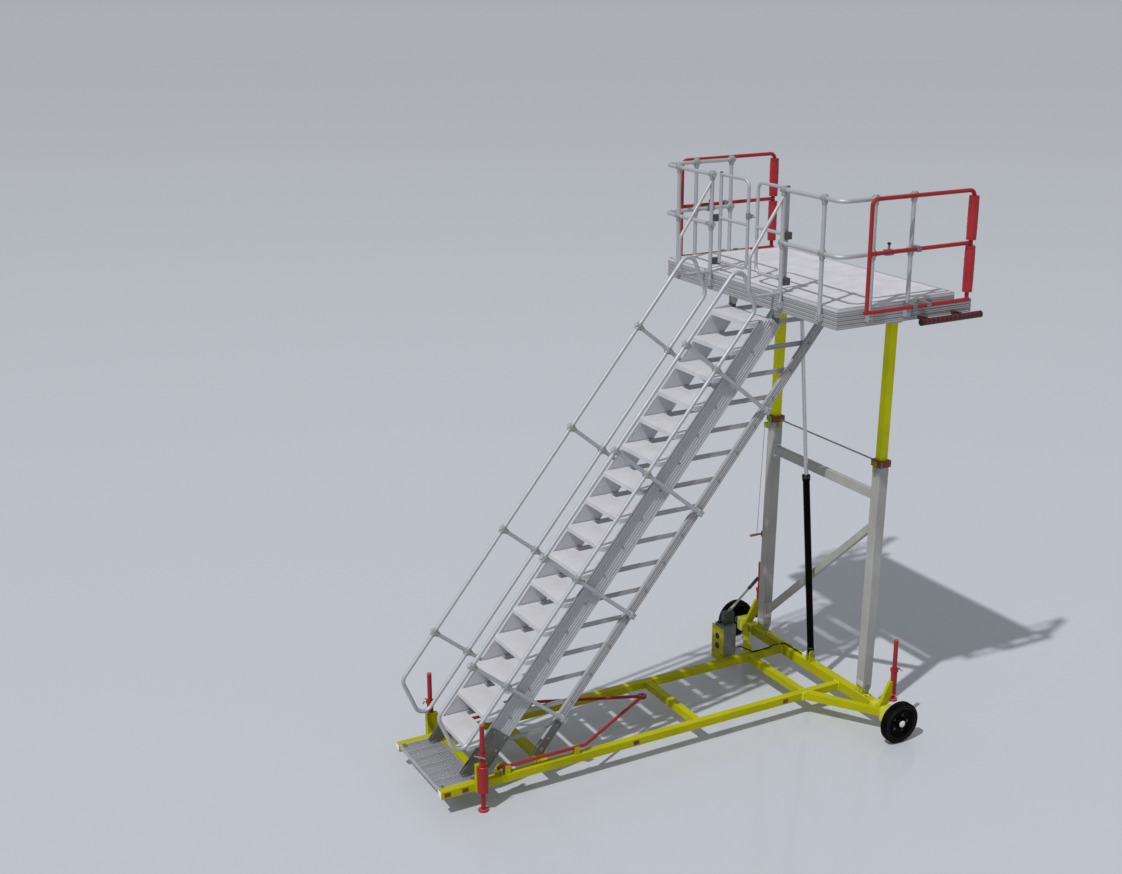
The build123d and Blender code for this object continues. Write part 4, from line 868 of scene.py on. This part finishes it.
class PLATFORM_OT_chassis_fittings(Operator):
    """Rail caps, reflectors, end and joint plates, leg foot plates, clips and weld beads of the chassis"""

    bl_idname = "platform.chassis_fittings"
    bl_label = "Chassis fittings"

    def execute(self, context):
        caps, reflectors, plates, beads, clips = Shape(), Shape(), Shape(), Shape(), Shape()
        for side in SIDES:
            out = Y * side
            caps.block(Vector((RAIL_FRONT + 0.002, side * RAIL_MID, RAIL_Z)), (0.012, 0.076, 0.076), ease=0.005)
            for x in REFLECTORS[side]:
                at = Vector((x, side * (RAIL_FACE + 0.002), RAIL_Z))
                reflectors.block(at, (0.066, 0.006, 0.044), ease=0.0025)
                reflectors.block(at + out * 0.003, (0.054, 0.004, 0.032), ease=0.0015)
            for x, y, size, ease in AXLE_BLOCKS:
                plates.block(Vector((x, side * y, RAIL_Z)), size, ease=ease)
            for x in (1.595, 1.685):
                plates.pair(Vector((x, side * (RAIL_FACE + 0.009), RAIL_Z)), Z * 0.025, out, 0.009, 0.009)
            for x in CROSS_PLACES:
                self.joint(beads, x, side)
            for x in GRATING_CLIPS:
                at = Vector((x, side * CLIP_Y, RAIL_TOP))
                clips.block(at + Z * 0.003, (0.036, 0.044, 0.006), ease=0.0015)
                clips.bolt(at + Z * 0.006, Z, 0.007, 0.007)
            foot = Vector((LEG_FOOT.x, side * LEG_Y, BEAM_TOP))
            plates.block(foot + Z * 0.004, (0.096, 0.190, 0.012), ease=0.002)
            for way in SIDES:
                clips.pair(foot + Y * way * 0.083 + Z * 0.010, X * 0.030, Z, 0.008)
                edge = foot + Y * way * 0.042
                beads.bead(edge - X * 0.043, edge + X * 0.043)
            for y in (RAIL_INNER, RAIL_FACE):
                start = Vector((RAIL_END, side * y, 0.200))
                beads.bead(start, start + Z * 0.080)
            corner = Vector((RAIL_END, side * RAIL_INNER, RAIL_TOP))
            beads.bead(corner, corner + out * (RAIL_FACE - RAIL_INNER))
            for x, half in ((FOOT.x, 0.050), (BEAM_FOOT.x, 0.042)):
                for y in LUG_FACES:
                    at = Vector((x, side * y, RAIL_TOP))
                    beads.bead(at - X * half, at + X * half, 0.004)
        caps.done("rail_caps", "yellow_paint", "chassis", "cap_white")
        reflectors.done("reflectors", "bumper_red", "chassis", "reflector")
        plates.done("axle_end_plates", "yellow_paint", "chassis")
        beads.done("chassis_welds", "yellow_paint", "chassis")
        clips.done("grating_clips", "galvanised", "chassis", "zinc")
        return {"FINISHED"}

    def joint(self, beads, x, side):
        """Weld round the end of a cross tube."""
        y = side * RAIL_INNER
        near, far = x - CROSS_HALF, x + CROSS_HALF
        for edge in (near, far):
            beads.bead(Vector((edge, y, 0.202)), Vector((edge, y, 0.278)))
        beads.bead(Vector((near, y, RAIL_TOP)), Vector((far, y, RAIL_TOP)))


class PLATFORM_OT_pump_fittings(Operator):
    """Filler cap, dials, lever socket, bolts and hose ends of the hand pump, and the valve at the hose's far end"""

    bl_idname = "platform.pump_fittings"
    bl_label = "Pump fittings"

    def execute(self, context):
        dark, bright, valve = Shape(), Shape(), Shape()
        valve.block(VALVE, (0.052, 0.056, 0.048), ease=0.004)
        valve.rod(VALVE + Z * 0.018, VALVE + Z * 0.044, 0.011)
        dark.turned(FILLER, Z, FILLER_CAP)
        run = (LEVER_HEAD - LEVER_FOOT).normalized()
        socket = LEVER_FOOT + run * 0.055
        bright.band(socket, run, 0.0132, 0.020, 0.060)
        bright.bolt(socket + Y * 0.019, Y, 0.006, 0.006)
        face = PUMP_FRONT - 0.012
        for y in (0.600, 0.765):
            bright.pair(Vector((face, y, 0.455)), Z * 0.145, -X, 0.009)
        for z in DIALS:
            dark.turned(Vector((face, DIAL_Y, z)), -X, PUMP_DIAL, 24)
        for x in (1.345, 1.462):
            bright.pair(Vector((x, 0.760, 0.4725)), Z * 0.1725, Y, 0.006, 0.006)
        dark.turned(PUMP_PORT, X, PORT_NUT, 6)
        bright.band(PUMP_PORT + X * 0.030, X, 0.0072, 0.011, 0.034)
        bright.band(Vector((2.080, RAIL_MID, HOSE_Z)), X, 0.0072, 0.010, 0.020)
        bright.band(Vector((AXLE_X, 0.070, HOSE_Z)), Y, 0.0072, 0.011, 0.034)
        dark.turned(Vector((AXLE_X, 0.050, HOSE_Z)), -Y, PORT_NUT, 6)
        dark.done("pump_caps", "block_black", "chassis", "cap_black")
        bright.done("pump_bolts", "plate_steel", "chassis", "zinc")
        valve.done("foot_valve", "plate_steel", "chassis", "cap_white")
        return {"FINISHED"}


class PLATFORM_OT_jack_fittings(Operator):
    """Caps and feet of the jack legs, and the clamp bars and weld rings of their sleeves"""

    bl_idname = "platform.jack_fittings"
    bl_label = "Jack fittings"

    def execute(self, context):
        bars, welds = Shape(), Shape()
        for name, side in NAMED_SIDES:
            for end, (x, y, low, top, clamp, weld) in JACKS.items():
                middle = Vector((x, side * y, 0))
                leg = Shape()
                leg.turned(middle + Z * top, Z, JACK_CAP)
                leg.turned(middle + Z * (low + 0.014), Z, PAD_WASHER)
                leg.done(f"jack_ends_{end}_{name}", "red_paint", f"jack_{end}_{name}")
                out = (X * -0.8 + Y * side * 0.6) if end == "front" else X
                across = out.cross(Z)
                start = middle + Z * clamp
                bars.turned(start + out * 0.042, out, CLAMP_BOSS, 6)
                ends = [start + out * 0.058 + across * shift for shift in (-0.055, 0.055)]
                bars.rod(*ends, 0.006)
                for ball in ends:
                    bars.turned(ball - across * 0.009, across, BALL_END, 12)
                welds.band(middle + Z * weld, Z, 0.030, 0.039, 0.010, 24)
        bars.done("jack_clamp_bars", "plate_steel", "chassis", "zinc")
        welds.done("jack_sleeve_welds", "red_paint", "chassis")
        return {"FINISHED"}


class PLATFORM_OT_tow_fittings(Operator):
    """Pins, rings, eye bush and weld beads of the tow bar"""

    bl_idname = "platform.tow_fittings"
    bl_label = "Tow bar fittings"

    def execute(self, context):
        pins, welds = Shape(), Shape()
        eye = Vector((TOW_EYE[0], 0, TOW_EYE[1]))
        pins.band(eye, Z, 0.0202, 0.029, 0.040, 28)
        for side in SIDES:
            at = Vector((TOW_FRONT[0] + 0.017, side * RAIL_FACE, TOW_FRONT[1]))
            out = Y * side
            pins.turned(at, out, TOW_PIN, 16)
            pins.band(at + out * 0.010 - Z * 0.018, X, 0.014, 0.0175, 0.0036, 16)
            arm = Vector((-0.890, side * 0.4715, 0)).normalized()
            across = arm.cross(Z) * 0.017
            for lift in (-0.004, 0.004):
                middle = eye + arm * 0.044 + Z * lift
                welds.bead(middle + across, middle - across)
        pins.done("tow_pins", "plate_steel", "chassis", "zinc")
        welds.done("tow_welds", "red_paint", "chassis")
        return {"FINISHED"}


class PLATFORM_OT_leg_fittings(Operator):
    """Foot pins, collar latches, gussets, and the lock's grip and pull rod"""

    bl_idname = "platform.leg_fittings"
    bl_label = "Leg fittings"

    def execute(self, context):
        pins, latches, gussets, grip, pull = Shape(), Shape(), Shape(), Shape(), Shape()
        back = LEG_TURN @ X
        for side in SIDES:
            out = Y * side
            foot = LEG_FOOT + out * LEG_Y
            for way in SIDES:
                pins.bolt(foot + Y * way * (LEG_HALF + 0.004), Y * way, 0.021, 0.012)
                gussets.block(foot + LEG_UP * 0.0375 + back * way * 0.056, (0.008, 0.112, 0.065), LEG_TURN, 0.002)
            collar = foot + LEG_UP * COLLAR_UP
            bar = collar - back * 0.092
            latches.block(collar - back * 0.079, (0.016, 0.060, 0.050), LEG_TURN)
            latches.rod(bar - Y * 0.045, bar + Y * 0.045, 0.008)
            latches.block(collar - back * 0.095 - LEG_UP * 0.050, (0.012, 0.030, 0.080), LEG_TURN)
            latches.block(collar - out * 0.080 - LEG_UP * 0.060, (0.040, 0.016, 0.070), LEG_TURN)
            for lift in (-0.015, 0.017):
                pins.pair(collar + out * 0.073 + LEG_UP * lift, back * 0.055, out, 0.006, 0.006)
            inner = foot - out * (LEG_HALF + 0.003)
            gussets.block(inner + LEG_UP * TIE_UP, (0.100, 0.008, 0.150), LEG_TURN)
            gussets.block(inner + LEG_UP * KNEE_UP[side], (0.100, 0.008, 0.190), LEG_TURN)
        handle = LEG_FOOT + LEG_UP * HANDLE_UP + Y * HANDLE_Y
        latch = LEG_FOOT + LEG_UP * LATCH_UP + Y * LATCH_Y - back * 0.058
        grip.rod(handle - back * 0.105, handle - back * 0.196, 0.0150, 14)
        latches.block(latch, (0.040, 0.060, 0.060), LEG_TURN)
        pull.rod(handle - back * 0.100, latch + Y * 0.020 - back * 0.014 - LEG_UP * 0.020, 0.0028, 8)
        pins.bolt(handle + Y * 0.010 - back * 0.012, Y, 0.008, 0.008)
        pull.done("lock_pull_rod", "plate_steel", "outer_legs")
        pins.done("leg_pins", "plate_steel", "outer_legs", "zinc")
        latches.done("collar_latches", "yellow_paint", "outer_legs", "latch_green")
        gussets.done("leg_gussets", "leg_grey", "outer_legs")
        grip.done("lock_grip", "lock_orange", "outer_legs")
        return {"FINISHED"}


class PLATFORM_OT_cylinder_fittings(Operator):
    """Gland nut, wiper, port and pin heads of the lift cylinder"""

    bl_idname = "platform.cylinder_fittings"
    bl_label = "Cylinder fittings"

    def execute(self, context):
        gland, port, heads = Shape(), Shape(), Shape()
        top = RAM_FOOT + RAM_UP * BARREL_TOP
        gland.band(top - RAM_UP * 0.018, RAM_UP, 0.040, 0.0475, 0.030, 8)
        gland.band(top + RAM_UP * 0.002, RAM_UP, 0.0226, 0.034, 0.010, 28)
        gland.band(RAM_FOOT + RAM_UP * 0.070, RAM_UP, 0.036, 0.041, 0.014, 28)
        port.turned(RAM_FOOT + RAM_UP * 0.120 + Y * 0.036, Y, RAM_PORT, 6)
        for way in SIDES:
            heads.bolt(RAM_FOOT + Y * way * 0.033, Y * way, 0.018, 0.010)
        gland.done("cylinder_gland", "black_paint", "barrel")
        port.done("cylinder_port", "plate_steel", "barrel", "zinc")
        heads.done("cylinder_pin", "plate_steel", "chassis", "zinc")
        return {"FINISHED"}


class PLATFORM_OT_stage(Operator):
    """Lay the floor, hang the lights and set the camera"""

    bl_idname = "platform.stage"
    bl_label = "Stage"

    def execute(self, context):
        stage = context.scene.platform_stage
        self.floor(stage)
        self.lights(context, stage)
        self.camera(context, stage)
        context.scene.view_settings.view_transform = "Standard"
        return {"FINISHED"}

    def floor(self, stage):
        """Wide pale floor with a soft sheen."""
        bm = bmesh.new()
        bmesh.ops.create_circle(bm, cap_ends=True, radius=400, segments=96)
        mesh = bpy.data.meshes.new("floor")
        bm.to_mesh(mesh)
        bm.free()
        floor = bpy.data.objects.new("floor", mesh)
        bpy.context.scene.collection.objects.link(floor)
        material, _, shader = new_material("floor", roughness=0.10, specular=0.3)
        shader.inputs["Base Color"].default_value = (*stage.floor, 1)
        mesh.materials.append(material)

    def lights(self, context, stage):
        """Soft sky all round, and one crisp sun from behind the camera on its left."""
        world = bpy.data.worlds.new("studio")
        world.use_nodes = True
        background = world.node_tree.nodes["Background"]
        background.inputs["Color"].default_value = (*stage.floor, 1)
        background.inputs["Strength"].default_value = stage.sky_strength
        context.scene.world = world
        sun = bpy.data.lights.new("sun", "SUN")
        sun.energy = stage.sun_strength
        sun.angle = SUN_SIZE
        lamp = bpy.data.objects.new("sun", sun)
        lamp.rotation_euler = SUN_WAY.to_track_quat("-Z", "Y").to_euler()
        context.scene.collection.objects.link(lamp)

    def camera(self, context, stage):
        """Camera at the photograph's place."""
        data = bpy.data.cameras.new("camera")
        data.sensor_width = 36
        data.sensor_fit = "HORIZONTAL"
        data.lens = data.sensor_width * stage.focal_pixels / PHOTO_WIDTH
        data.clip_end = 1000
        camera = bpy.data.objects.new("camera", data)
        level = cos(stage.camera_pitch)
        view = Vector((cos(stage.camera_yaw) * level, sin(stage.camera_yaw) * level, sin(stage.camera_pitch)))
        turn = view.to_track_quat("-Z", "Y").to_matrix().to_4x4()
        lean = Matrix.Rotation(stage.camera_roll, 4, "Z")
        camera.matrix_world = Matrix.Translation(stage.camera_place) @ turn @ lean
        context.scene.collection.objects.link(camera)
        context.scene.camera = camera


class PLATFORM_PT_panel(Panel):
    """Sidebar list of the dressing steps"""

    bl_label = "Access Platform"
    bl_idname = "PLATFORM_PT_panel"
    bl_space_type = "VIEW_3D"
    bl_region_type = "UI"
    bl_category = "Platform"

    def draw(self, context):
        for step in STEPS:
            self.layout.operator(step.bl_idname)


STEPS = (
    PLATFORM_OT_finishes,
    PLATFORM_OT_stage,
    PLATFORM_OT_treads,
    PLATFORM_OT_deck_trim,
    PLATFORM_OT_stair_bolts,
    PLATFORM_OT_tube_fittings,
    PLATFORM_OT_gate_fittings,
    PLATFORM_OT_guard_pads,
    PLATFORM_OT_guide_fittings,
    PLATFORM_OT_wheel_fittings,
    PLATFORM_OT_chassis_fittings,
    PLATFORM_OT_pump_fittings,
    PLATFORM_OT_jack_fittings,
    PLATFORM_OT_tow_fittings,
    PLATFORM_OT_leg_fittings,
    PLATFORM_OT_cylinder_fittings,
)
CLASSES = (PlatformPaint, PlatformStage, *STEPS, PLATFORM_PT_panel)


def register():
    for cls in CLASSES:
        bpy.utils.register_class(cls)
    bpy.types.Scene.platform_paint = PointerProperty(type=PlatformPaint)
    bpy.types.Scene.platform_stage = PointerProperty(type=PlatformStage)


def unregister():
    del bpy.types.Scene.platform_stage
    del bpy.types.Scene.platform_paint
    for cls in reversed(CLASSES):
        bpy.utils.unregister_class(cls)


def main():
    """Run every step in order."""
    register()
    for step in STEPS:
        group, name = step.bl_idname.split(".")
        getattr(getattr(bpy.ops, group), name)()


if __name__ == "__main__":
    main()
